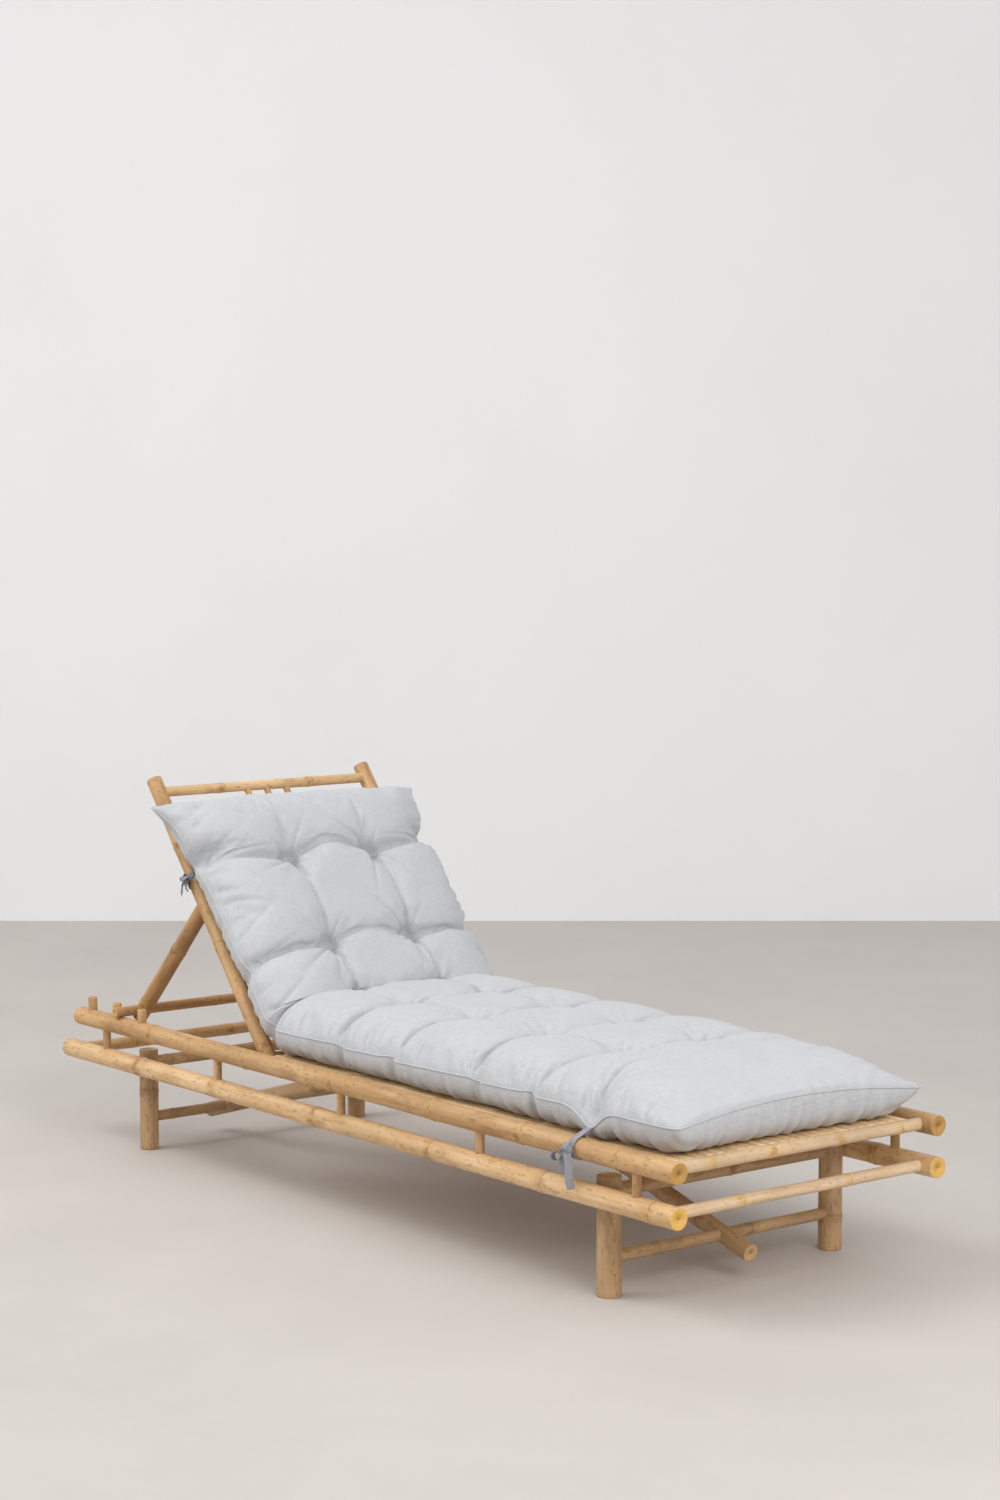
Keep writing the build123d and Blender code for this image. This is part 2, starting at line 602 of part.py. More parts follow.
def tie(centre, along, out, up, rail_radius, seam_point, shoulder_angle, tail_length):
    """A tape round a pole, a knot outside it, two tails, and the tape up to the cushion's seam."""
    inner = rail_radius + TOUCH_GAP
    outer = inner + TIE_THICKNESS
    half = along * (TIE_WIDTH / 2)
    band = culm_solid(Culm(centre - half, centre + half, 2 * outer))
    band -= culm_solid(Culm(centre - along * TIE_WIDTH, centre + along * TIE_WIDTH, 2 * inner))
    knot_centre = centre + out * (outer + TIE_KNOT_SIZE / 2 - TIE_THICKNESS)
    knot_place = Plane(origin=knot_centre, x_dir=along, z_dir=out)
    knot_block = Box(TIE_KNOT_SIZE, TIE_KNOT_SIZE, TIE_KNOT_SIZE)
    knot = knot_place * fillet(knot_block.edges(), TIE_KNOT_ROUND)
    shape = band + knot
    for tilt in (-TIE_TAIL_ANGLE, TIE_TAIL_ANGLE):
        hang = Vector(0, 0, -1) * cos(radians(tilt)) + along * sin(radians(tilt))
        tail_end = knot_centre + hang * tail_length
        across = along - hang * along.dot(hang)
        shape += tape(knot_centre, tail_end, across)
    turn = radians(shoulder_angle)
    shoulder = centre + (out * cos(turn) + up * sin(turn)) * outer
    shape += tape(shoulder, seam_point, along)
    return shape


rail_tie_z = cushion_base_z + CUSHION_SEAM_HEIGHT
foot_tie_x = foot_end_x - FOOT_TIE_INSET
back_tie_s = PROP_PIVOT_S + BACK_TIE_RISE
seam_y = CUSHION_HALF_WIDTH + TIE_THICKNESS
for side, sign in SIDES.items():
    out = Vector(0, sign, 0)
    rail_point = Vector(foot_tie_x, sign * rail_y, UPPER_RAIL_HEIGHT)
    rail_seam = Vector(foot_tie_x, sign * seam_y, rail_tie_z)
    foot_hold = (upper_radius, rail_seam, TIE_SHOULDER_ANGLE, TIE_TAIL_LENGTH)
    write(f"foot_tie_{side}", tie(rail_point, Vector(1, 0, 0), out, Vector(0, 0, 1), *foot_hold))
    stile_point = on_back(back_tie_s, sign * stile_y)
    stile_seam = on_back(back_tie_s, sign * seam_y, back_cushion_n + CUSHION_SEAM_HEIGHT)
    back_hold = (STILE_DIAMETER / 2, stile_seam, BACK_TIE_SHOULDER_ANGLE, BACK_TIE_TAIL_LENGTH)
    write(f"back_tie_{side}", tie(stile_point, back_up, out, back_front, *back_hold))
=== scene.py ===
import random
from math import cos, pi, radians, sin

import bpy
import numpy as np
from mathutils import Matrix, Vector


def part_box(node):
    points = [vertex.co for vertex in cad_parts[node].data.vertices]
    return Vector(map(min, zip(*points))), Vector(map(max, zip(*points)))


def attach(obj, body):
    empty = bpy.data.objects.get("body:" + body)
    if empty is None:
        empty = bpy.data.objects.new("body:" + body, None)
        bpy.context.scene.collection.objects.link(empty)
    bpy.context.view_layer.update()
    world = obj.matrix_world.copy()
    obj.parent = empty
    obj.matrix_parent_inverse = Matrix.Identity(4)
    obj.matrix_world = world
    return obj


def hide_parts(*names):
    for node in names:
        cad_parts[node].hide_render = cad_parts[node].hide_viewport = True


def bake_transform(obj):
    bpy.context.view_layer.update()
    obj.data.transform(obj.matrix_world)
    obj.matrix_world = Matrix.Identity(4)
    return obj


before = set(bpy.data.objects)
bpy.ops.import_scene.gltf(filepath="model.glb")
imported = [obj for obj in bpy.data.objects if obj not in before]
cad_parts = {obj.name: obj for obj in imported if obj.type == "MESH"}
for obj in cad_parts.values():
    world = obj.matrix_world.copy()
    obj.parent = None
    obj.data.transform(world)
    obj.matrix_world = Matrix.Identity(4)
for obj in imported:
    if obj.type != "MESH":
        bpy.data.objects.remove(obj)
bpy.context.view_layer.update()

# Side rails: two long bamboo culms on each side, the lower one a little longer at the head.
# A culm is a straight pole with a ring at each joint of its growth, sawn square at both ends,
# where the pale wall and the small pith hole show. All poles of the lounger are made this way.
RAIL_RINGS = {
    "upper_rail_near": (0.306, 0.670, 0.985, 1.313, 1.579, 1.846),
    "lower_rail_near": (0.305, 0.606, 0.972, 1.354, 1.690, 1.985),
    "upper_rail_far": (0.182, 0.497, 0.828, 1.151, 1.480, 1.795),
    "lower_rail_far": (0.226, 0.561, 0.905, 1.239, 1.574, 1.898),
}
RAIL_PITH = 0.0042
RAIL_BEND = 0.0016
HONEY_BARK = {"pale": (0.67, 0.425, 0.20), "body": (0.53, 0.30, 0.122), "stain": (0.28, 0.135, 0.05)}
# A lighter copy of the honey bark and of its cut colour, for the lower rails and the back bars: painted
# light, standing in for the light that these catch.
PAINTED_LIGHT_BARK = {"pale": (0.83, 0.58, 0.325), "body": (0.70, 0.445, 0.21), "stain": (0.35, 0.175, 0.068)}
HONEY_CUT = ((0.57, 0.32, 0.075), (0.33, 0.165, 0.038))
PAINTED_LIGHT_CUT = ((0.83, 0.50, 0.115), (0.56, 0.30, 0.06))
PLAIN_CUT = ((0.70, 0.42, 0.105), (0.40, 0.20, 0.05))
YELLOW_RING = (0.56, 0.32, 0.10)
CULM_PITH = 0.0016
CULM_SIDES = 32
PITH_DEPTH = 0.014
SAWN_EDGE = 0.0009
EDGE_SHARE = 0.293
CUT_RIM = 0.001
END_ROWS = 6.0
ROW_PITCH = 0.003
MERGE_REACH = 0.00001
SWELL = 0.050
SWELL_WIDTH = 0.015
RIDGE_WIDTH = 0.0026
GROOVE_WIDTH = 0.0024
GROOVE_AFTER = 0.0058
RING_RELIEF = 0.0005
GIRTH = 0.985
UNEVENNESS = 0.06
UNEVEN_SCALE = 0.7
KNOB_SCALE = 1.6
KNOB_GAIN, KNOB_BASE = 2.2, -0.2
LUMPS_PER_METRE = 6.0
SWAYS_PER_METRE = 1.6
SWAY_REACH = 16.0
SEED_STEP = 3.37
SEAM_WAY = (0.31, 0.83, 0.46)
NO_RING = 9.0
FIRST_RING, RING_STEP = (0.25, 0.75), (0.85, 1.15)
BARK_NOISES = {
    "fibre": (420.0, 9.0, 4.0), "streak": (90.0, 3.2, 3.0), "cloud": (22.0, 5.0, 3.0),
    "broad": (9.0, 2.1, 2.0), "fleck": (190.0, 62.0, 2.0), "blot": (34.0, 12.0, 3.0),
    "scar": (75.0, 55.0, 2.0), "broken": (120.0, 1.0, 1.0), "pores": (900.0, 40.0, 2.0),
}
BARK_STOPS = {
    "fibre": (0.55, 0.8), "streak": (0.45, 0.72), "cloud": (0.38, 0.61), "broad": (0.45, 0.70),
    "fleck": (0.58, 0.68), "blot": (0.54, 0.70), "scar": (0.52, 0.64), "broken": (0.42, 0.62, 0.1, 0.6),
    "pores": (0.42, 0.66), "cut": (0.35, 0.65),
}
BARK_SHARES = {"broad": 0.65, "streak": 0.6, "fibre": 0.35, "fleck": 0.60, "ring": 0.5, "scar": 0.85}
BARK_ROUGHNESS = 0.58
BROAD_SHADE, STREAK_SHADE, LINE_SHADE = 0.72, 0.70, 0.6
RING_TINT_WIDTH = 0.012
RING_LINE_WIDTH = 0.0016
BARK_GLOSS = (0.42, 0.66)
BARK_RELIEF = (0.35, 0.0006)
FIBRE_RELIEF = 0.5
STAINS = 0.5


class Flow:
    """A value that flows out of a step of a node tree. Sums on it are further steps of that tree."""

    def __init__(self, socket):
        self.socket = socket
        self.tree = socket.id_data

    def out(self, name):
        """Another value of the same step."""
        return Flow(self.socket.node.outputs[name])

    def sums(self, operation, *others):
        """A sum of this value with others, on vectors where it is one."""
        kind = "ShaderNodeVectorMath" if self.socket.type == "VECTOR" else "ShaderNodeMath"
        return step(self.tree, kind, self, *others, operation=operation)

    def __add__(self, other):
        return self.sums("ADD", other)

    def __sub__(self, other):
        return self.sums("SUBTRACT", other)

    def __mul__(self, other):
        return self.sums("MULTIPLY", other)

    def __truediv__(self, other):
        return self.sums("DIVIDE", other)


def feed_in(socket, feed):
    """Give a socket a plain value or join it to one that flows."""
    if isinstance(feed, Flow):
        feed.tree.links.new(feed.socket, socket)
    elif feed is not None:
        socket.default_value = feed


def step(tree, kind, *feeds, **settings):
    """One step of a node tree, with its feeds in the order of its inputs."""
    made = tree.nodes.new(kind)
    for name, value in settings.items():
        setattr(made, name, value)
    for socket, feed in zip(made.inputs, feeds):
        feed_in(socket, feed)
    return Flow(made.outputs[0])


def bump_at(distance, width):
    """A smooth hump of height one where the distance is nought."""
    share = distance / width
    return (share * share * -1.0).sums("EXPONENT")


def either(test, first, second):
    """The first number, or the second where the test holds."""
    return step(test.tree, "GeometryNodeSwitch", test, first, second, input_type="FLOAT")


def by_row(row, numbers):
    """The number that a row has in a list."""
    switch = row.tree.nodes.new("GeometryNodeIndexSwitch")
    switch.data_type = "FLOAT"
    for _ in numbers[2:]:
        switch.index_switch_items.new()
    for socket, feed in zip(switch.inputs, (row, *numbers)):
        feed_in(socket, feed)
    return Flow(switch.outputs[0])


def place_of(points, number):
    """The place of a numbered point."""
    where = step(points.tree, "GeometryNodeInputPosition")
    return step(points.tree, "GeometryNodeSampleIndex", points, where, number, data_type="FLOAT_VECTOR")


def noted(shape, name, value, domain="POINT"):
    """A shape that carries a named value for its finish to read."""
    kind = "FLOAT_VECTOR" if value.socket.type == "VECTOR" else "FLOAT"
    storing = "GeometryNodeStoreNamedAttribute"
    return step(shape.tree, storing, shape, None, name, value, data_type=kind, domain=domain)


def new_tree(name, inputs):
    """An empty geometry tree with one geometry input and the named inputs after it."""
    tree = bpy.data.node_groups.new(name, "GeometryNodeTree")
    tree.interface.new_socket("Geometry", in_out="INPUT", socket_type="NodeSocketGeometry")
    for label, kind in inputs.items():
        tree.interface.new_socket(label, in_out="INPUT", socket_type="NodeSocket" + kind)
    tree.interface.new_socket("Geometry", in_out="OUTPUT", socket_type="NodeSocketGeometry")
    return tree, {socket.name: Flow(socket) for socket in tree.nodes.new("NodeGroupInput").outputs}


def close_tree(shape, finish):
    """The end of a geometry tree: real faces, smooth, in one finish."""
    tree = shape.tree
    shape = step(tree, "GeometryNodeRealizeInstances", shape)
    shape = step(tree, "GeometryNodeSetShadeSmooth", shape)
    shape = step(tree, "GeometryNodeSetMaterial", shape, None, finish)
    feed_in(tree.nodes.new("NodeGroupOutput").inputs[0], shape)
    return tree


def placed(name, data):
    """An object of the scene."""
    made = bpy.data.objects.new(name, data)
    bpy.context.scene.collection.objects.link(made)
    return made


def grown(name, tree, points, values, edges=()):
    """A plain mesh object made by a geometry tree from loose points and the values of its inputs."""
    seed_mesh = bpy.data.meshes.new(name + "_points")
    seed_mesh.from_pydata(points, edges, [])
    maker = placed(name + "_maker", seed_mesh)
    modifier = maker.modifiers.new("made", "NODES")
    modifier.node_group = tree
    sockets = {s.name: s.identifier for s in tree.interface.items_tree if s.in_out == "INPUT"}
    for label, value in values.items():
        modifier[sockets[label]] = value
    depsgraph = bpy.context.evaluated_depsgraph_get()
    mesh = bpy.data.meshes.new_from_object(maker.evaluated_get(depsgraph))
    bpy.data.objects.remove(maker)
    return placed(name, mesh)


def stand_for(piece, node, body):
    """Let a piece ride on a body and stand for a node of the frame."""
    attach(piece, body)
    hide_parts(node)


def culm_tree():
    """A bamboo pole between two points, with a swelling and a ring at each given place along it."""
    tree, given = new_tree("bamboo_culm", {
        "Start": "Vector", "End": "Vector", "Radius": "Float", "Start Round": "Float", "End Round": "Float",
        "Pith": "Float", "Pith Depth": "Float", "Swell": "Float", "Bend": "Float", "Row Pitch": "Float",
        "Sides": "Int", "Seed": "Int", "Bark": "Material",
    })
    run = given["End"] - given["Start"]
    length = run.sums("LENGTH").out("Value")
    along = run.sums("NORMALIZE")
    side = along.sums("CROSS_PRODUCT", SEAM_WAY).sums("NORMALIZE")
    square = along.sums("CROSS_PRODUCT", side)

    rows = (length / given["Row Pitch"]).sums("ROUND").sums("MAXIMUM", END_ROWS) + 2 * END_ROWS
    last = rows - 1.0
    grid = step(tree, "GeometryNodeMeshGrid", 1.0, 1.0, given["Sides"] + 1.0, rows)
    place = step(tree, "ShaderNodeSeparateXYZ", step(tree, "GeometryNodeInputPosition"))
    turn = (place + 0.5) * (2 * pi)
    row = ((place.out("Y") + 0.5) * last).sums("ROUND")
    from_end = row.sums("MINIMUM", last - row)
    at_far = row.sums("GREATER_THAN", last * 0.5)
    at_end = from_end.sums("LESS_THAN", END_ROWS - 0.5)
    end_row = from_end.sums("MINIMUM", END_ROWS - 1.0)
    cut = from_end.sums("LESS_THAN", END_ROWS - 1.5)

    start_round, end_round, pith_depth = (given[name] for name in ("Start Round", "End Round", "Pith Depth"))
    edge = either(at_far, start_round, end_round)
    short = edge * EDGE_SHARE
    share = (row - END_ROWS) / (last - 2 * END_ROWS)
    middle_s = start_round + share * (length - (start_round + end_round))
    end_s = by_row(end_row, (pith_depth, pith_depth, 0.0, 0.0, 0.0, short))
    s = either(at_end, middle_s, either(at_far, end_s, length - end_s))

    at_s = step(tree, "ShaderNodeCombineXYZ", s, 0.0, 0.0)
    nearest = step(tree, "GeometryNodeSampleNearest", given["Geometry"], at_s)
    ring = s - step(tree, "ShaderNodeSeparateXYZ", place_of(given["Geometry"], nearest))
    round_x, round_y = turn.sums("COSINE"), turn.sums("SINE")
    seed_shift = given["Seed"] * SEED_STEP
    lump_at = step(tree, "ShaderNodeCombineXYZ", round_x, round_y, s * LUMPS_PER_METRE)
    lump_at = lump_at + step(tree, "ShaderNodeCombineXYZ", seed_shift, 0.0, seed_shift)
    uneven = step(tree, "ShaderNodeTexNoise", lump_at, None, UNEVEN_SCALE, 1.0) - 0.5
    knobby = step(tree, "ShaderNodeTexNoise", lump_at, None, KNOB_SCALE, 1.0) * KNOB_GAIN + KNOB_BASE
    swelling = bump_at(ring, SWELL_WIDTH) * (given["Swell"] * knobby)
    ridge = bump_at(ring, RIDGE_WIDTH) * RING_RELIEF
    groove = bump_at(ring - GROOVE_AFTER, GROOVE_WIDTH) * RING_RELIEF
    wall = given["Radius"] * (swelling + uneven * UNEVENNESS + GIRTH) + ridge - groove
    cut_radii = (0.0, given["Pith"], given["Pith"], wall - edge - CUT_RIM, wall - edge, wall - short)
    radius = either(at_end, wall, by_row(end_row, cut_radii))

    part_way = s / length
    reach = part_way * (part_way * -1.0 + 1.0) * (given["Bend"] * SWAY_REACH)
    sway_at = step(tree, "ShaderNodeCombineXYZ", s * SWAYS_PER_METRE, seed_shift, 0.0)
    sway = step(tree, "ShaderNodeTexNoise", sway_at, None, 1.0, 1.0).out("Color")
    sway = step(tree, "ShaderNodeVectorMath", sway, (0.5, 0.5, 0.5), operation="SUBTRACT")
    sway = step(tree, "ShaderNodeSeparateXYZ", sway)
    grain_x, grain_y = round_x * radius, round_y * radius
    spot = given["Start"] + along * s + side * (grain_x + sway * reach)
    spot = spot + square * (grain_y + sway.out("Y") * reach)
    shape = noted(grid, "grain", step(tree, "ShaderNodeCombineXYZ", grain_x, grain_y, s + seed_shift))
    shape = noted(noted(shape, "ring", ring), "cut", cut)
    shape = step(tree, "GeometryNodeSetPosition", shape, None, spot)
    shape = step(tree, "GeometryNodeMergeByDistance", shape, None, MERGE_REACH)
    return close_tree(shape, given["Bark"])


def banded(value, low, high, bottom=0.0, top=1.0):
    """A number that rises from its bottom to its top while a value goes from low to high."""
    made = value.tree.nodes.new("ShaderNodeValToRGB")
    for element, at, height in zip(made.color_ramp.elements, (low, high), (bottom, top)):
        element.position = at
        element.color = (height, height, height, 1.0)
    feed_in(made.inputs[0], value)
    return Flow(made.outputs[0])


def tinted(tree, share, first, second):
    """Two colours mixed by a share."""
    made = tree.nodes.new("ShaderNodeMix")
    made.data_type = "RGBA"
    for socket, feed in ((made.inputs[0], share), (made.inputs[6], first), (made.inputs[7], second)):
        feed_in(socket, (*feed, 1.0) if isinstance(feed, tuple) else feed)
    return Flow(made.outputs[2])


def shaded(tint, share):
    """A darker form of a colour."""
    return tuple(share * part for part in tint)


def new_finish(name):
    """A plain material, its node tree and its shader's inputs."""
    material = bpy.data.materials.new(name)
    material.use_nodes = True
    return material, material.node_tree, material.node_tree.nodes["Principled BSDF"].inputs


def emboss(inputs, height, strength, depth):
    """Give a finish its fine relief."""
    bump = height.tree.nodes.new("ShaderNodeBump")
    bump.inputs["Strength"].default_value = strength
    bump.inputs["Distance"].default_value = depth
    feed_in(bump.inputs["Height"], height)
    feed_in(inputs["Normal"], Flow(bump.outputs[0]))


def bark_finish(name, pale, body, stain, sawn=PLAIN_CUT, ring_tint=YELLOW_RING, stains=STAINS):
    """Dried bamboo: fibres along the pole, cloudy colour, brown flecks and stains gathered at each ring."""
    material, tree, inputs = new_finish(name)
    grain = step(tree, "ShaderNodeAttribute", attribute_name="grain").out("Vector")
    ring = step(tree, "ShaderNodeAttribute", attribute_name="ring").out("Fac")
    cut = step(tree, "ShaderNodeAttribute", attribute_name="cut").out("Fac")

    def noise(kind):
        """A noise drawn out along the pole."""
        across, along, detail = BARK_NOISES[kind]
        spot = grain * (across, across, along)
        return step(tree, "ShaderNodeTexNoise", spot, None, 1.0, detail, BARK_ROUGHNESS)

    def pattern(kind):
        """A noise sharpened between its stops."""
        return banded(noise(kind), *BARK_STOPS[kind])

    fibre, streak, fleck = noise("fibre"), noise("streak"), pattern("fleck")
    near_ring = bump_at(ring, RING_TINT_WIDTH)
    ring_line = bump_at(ring - GROOVE_AFTER, RING_LINE_WIDTH)
    layers = (
        (pattern("broad") * BARK_SHARES["broad"], shaded(body, BROAD_SHADE)),
        (banded(streak, *BARK_STOPS["streak"]) * BARK_SHARES["streak"], shaded(body, STREAK_SHADE)),
        (banded(fibre, *BARK_STOPS["fibre"]) * BARK_SHARES["fibre"], stain),
        (fleck * BARK_SHARES["fleck"], stain),
        (pattern("blot") * stains, stain),
        (near_ring * BARK_SHARES["ring"], ring_tint),
        (pattern("scar") * near_ring * BARK_SHARES["scar"], stain),
        (ring_line * pattern("broken"), shaded(stain, LINE_SHADE)),
        (banded(cut, *BARK_STOPS["cut"]), tinted(tree, pattern("pores"), *sawn)),
    )
    colour = tinted(tree, pattern("cloud"), body, pale)
    for share, tint in layers:
        colour = tinted(tree, share, colour, tint)
    feed_in(inputs["Base Color"], colour)
    feed_in(inputs["Roughness"], step(tree, "ShaderNodeMapRange", streak, 0.0, 1.0, *BARK_GLOSS))
    emboss(inputs, fibre * FIBRE_RELIEF + (streak - fleck), *BARK_RELIEF)
    return material


honey_bark = bark_finish("honey_bark", **HONEY_BARK, sawn=HONEY_CUT)
light_bark = bark_finish("light_bark", **PAINTED_LIGHT_BARK, sawn=PAINTED_LIGHT_CUT)
bamboo_culm = culm_tree()
culms = {}


def culm(node, body, slot, bark, start, end, radius, rings, pith=CULM_PITH, bend=0.0,
         edges=(SAWN_EDGE, SAWN_EDGE), sides=CULM_SIDES):
    """A bamboo pole that stands for a node of the frame."""
    values = {
        "Start": start, "End": end, "Radius": radius, "Start Round": edges[0], "End Round": edges[1],
        "Pith": pith, "Pith Depth": PITH_DEPTH, "Swell": SWELL, "Bend": bend, "Row Pitch": ROW_PITCH,
        "Sides": sides, "Seed": len(culms) + 1, "Bark": bark,
    }
    culms[node] = grown(node + "_culm", bamboo_culm, [(at, 0.0, 0.0) for at in rings], values)
    stand_for(culms[node], node, body)


def growth(length, spacing, seed):
    """Places of the rings along a pole whose own rings can't be seen, a little uneven as they grow."""
    chance = random.Random(seed)
    places = [spacing * chance.uniform(*FIRST_RING)]
    while places[-1] < length:
        places.append(places[-1] + spacing * chance.uniform(*RING_STEP))
    return places


def axis_ends(node, axis):
    """The two end centres and the radius of a straight node along X, Y or Z."""
    low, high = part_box(node)
    middle = (low + high) / 2
    start, end = middle.copy(), middle.copy()
    start[axis], end[axis] = low[axis], high[axis]
    return start, end, (high - low)[(axis + 1) % 3] / 2


for rail, rings in RAIL_RINGS.items():
    # The lower rails take the lighter copy of the honey bark and cut colour: painted light, brighter than the
    # upper rails.
    bark = light_bark if rail.startswith("lower") else honey_bark
    culm(rail, "base", "bamboo", bark, *axis_ends(rail, 0), rings, pith=RAIL_PITH, bend=RAIL_BEND)

# Spacer dowels hold the two rails of a side apart, and three pegs stand on each upper rail near the head
# as notches for the prop. They are short turned lengths of thin bamboo, driven into drilled holes.
DOWELS = {
    "rail_spacers": {"xs": (-0.865, -0.42, 0.025, 0.47, 0.915), "edge": 0.0008, "seed": 40},
    "notch_pegs": {"xs": (-0.924, -0.821, -0.718), "edge": 0.0022, "seed": 41},
}
DOWEL_PITH = 0.001
DOWEL_PITH_DEPTH = 0.004
DOWEL_SIDES = 24


def dowel_tree():
    """Upright dowels of one length, one at each point, each turned about itself."""
    tree, given = new_tree("dowel_row", {
        "Length": "Float", "Radius": "Float", "Edge": "Float", "Seed": "Int", "Bark": "Material",
    })
    no_ring = step(tree, "GeometryNodeMeshLine", 1, None, (NO_RING, 0.0, 0.0))
    top = step(tree, "ShaderNodeCombineXYZ", 0.0, 0.0, given["Length"])
    dowel = step(
        tree, "GeometryNodeGroup", no_ring, (0.0, 0.0, 0.0), top, given["Radius"], given["Edge"],
        given["Edge"], DOWEL_PITH, DOWEL_PITH_DEPTH, 0.0, 0.0, ROW_PITCH, DOWEL_SIDES, given["Seed"],
        given["Bark"], node_tree=bamboo_culm,
    )
    spin = tree.nodes.new("FunctionNodeRandomValue")
    spin.data_type = "FLOAT_VECTOR"
    spin.inputs[1].default_value = (0.0, 0.0, 2 * pi)
    feed_in(spin.inputs["Seed"], given["Seed"])
    turned = Flow(spin.outputs[0])
    dowels = step(tree, "GeometryNodeInstanceOnPoints", given["Geometry"], None, dowel, None, None, turned)
    return close_tree(dowels, given["Bark"])


dowel_row = dowel_tree()
for group, kind in DOWELS.items():
    for side in ("near", "far"):
        node = f"{group}_{side}"
        low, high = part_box(node)
        y = (low.y + high.y) / 2
        values = {
            "Length": high.z - low.z, "Radius": (high.y - low.y) / 2, "Edge": kind["edge"],
            "Seed": kind["seed"], "Bark": honey_bark,
        }
        dowels = grown(node + "_dowels", dowel_row, [(x, y, low.z) for x in kind["xs"]], values)
        stand_for(dowels, node, "base")

# End crossbars: two thin culms of pale, nearly white bamboo with yellow rings tie the rails at the foot,
# and a stouter honey one ties the lower rails at the head. Their ends sit in holes in the rails.
PALE_BARK = {"pale": (0.77, 0.585, 0.385), "body": (0.68, 0.48, 0.29), "stain": (0.46, 0.26, 0.11)}
PALE_RING = (0.66, 0.40, 0.10)
PALE_STAINS = 0.25
CROSSBAR_RINGS = {"foot_upper_crossbar": (0.094, 0.242, 0.407, 0.56), "foot_lower_crossbar": (0.166, 0.429)}
CROSS_LENGTH = 0.63
HEAD_BAR_RINGS = growth(CROSS_LENGTH, spacing=0.24, seed=5)
pale_bark = bark_finish("pale_bark", **PALE_BARK, ring_tint=PALE_RING, stains=PALE_STAINS)
for node, rings in CROSSBAR_RINGS.items():
    culm(node, "base", "pale_bamboo", pale_bark, *axis_ends(node, 1), rings)
head_bar_ends = axis_ends("head_lower_crossbar", 1)
culm("head_lower_crossbar", "base", "bamboo", honey_bark, *head_bar_ends, HEAD_BAR_RINGS)

# Legs and stretchers: stout brown culms stand inside the lower rails, each pair with a stretcher through its
# tops into the rails and another near the floor.
BROWN_BARK = {"pale": (0.61, 0.395, 0.205), "body": (0.50, 0.305, 0.145), "stain": (0.235, 0.125, 0.054)}
BROWN_CUT = ((0.68, 0.42, 0.18), (0.42, 0.235, 0.10))
BROWN_RING = (0.34, 0.19, 0.075)
BROWN_STAINS = 0.6
LEG_RINGS = {
    "foot_leg_near": (0.196,), "foot_leg_far": (0.062,), "head_leg_near": (0.128,), "head_leg_far": (0.09,),
}
LEG_EDGES = (0.0015, 0.0015)
LEG_SIDES = 40
STRETCHERS = {
    "foot_top_stretcher": 11, "foot_low_stretcher": 12, "head_top_stretcher": 13, "head_low_stretcher": 14,
}
STRETCHER_RING_SPACING = 0.22
brown_bark = bark_finish("brown_bark", **BROWN_BARK, sawn=BROWN_CUT, ring_tint=BROWN_RING,
                         stains=BROWN_STAINS)
for node, rings in LEG_RINGS.items():
    culm(node, "base", "brown_bamboo", brown_bark, *axis_ends(node, 2), rings, edges=LEG_EDGES,
         sides=LEG_SIDES)
for node, seed in STRETCHERS.items():
    rings = growth(CROSS_LENGTH, STRETCHER_RING_SPACING, seed)
    culm(node, "base", "brown_bamboo", brown_bark, *axis_ends(node, 1), rings)

# Braces: at each end a slanting culm crosses over the low stretcher and lies under a crossbar of the bed,
# held there by a thin wooden pin.
BRACES = {
    "foot": {"leg_x": 0.789, "bar_x": 0.225, "y": 0.0, "rings": (0.135, 0.365, 0.59)},
    "head": {"leg_x": -0.759, "bar_x": -0.190, "y": -0.069, "rings": (0.21, 0.44, 0.66)},
}
LOW_STRETCHER_Z = 0.070
BED_BAR_Z = 0.262
BRACE_OFFSET = 0.0283
BRACE_LOW, BRACE_HIGH = 0.078, 0.042
BRACE_RADIUS = 0.017
BRACE_BEND = 0.0012
BRACE_PIN_RADIUS = 0.004
BRACE_PIN_LOW, BRACE_PIN_HIGH = 0.0453, 0.003
BRACE_PIN_PITH = 0.0005
BRACE_PIN_SIDES = 16
for end, brace in BRACES.items():
    span = Vector((brace["bar_x"] - brace["leg_x"], 0.0, BED_BAR_Z - LOW_STRETCHER_Z))
    lean = np.arctan2(span.z, abs(span.x)) - np.arcsin(BRACE_OFFSET / span.length)
    along = Vector((np.sign(span.x) * cos(lean), 0.0, sin(lean)))
    square = Vector((-np.sign(span.x) * sin(lean), 0.0, cos(lean)))
    crossing = Vector((brace["leg_x"], brace["y"], LOW_STRETCHER_Z))
    start = crossing - along * BRACE_LOW
    stop = crossing + along * (span.dot(along) + BRACE_HIGH)
    culm(f"{end}_brace", "base", "brown_bamboo", brown_bark, start, stop, BRACE_RADIUS, brace["rings"],
         bend=BRACE_BEND)
    bar = Vector((brace["bar_x"], brace["y"], BED_BAR_Z))
    start, stop = bar - square * BRACE_PIN_LOW, bar + square * BRACE_PIN_HIGH
    culm(f"{end}_brace_pin", "base", "brown_bamboo", brown_bark, start, stop, BRACE_PIN_RADIUS, (NO_RING,),
         sides=BRACE_PIN_SIDES, pith=BRACE_PIN_PITH)

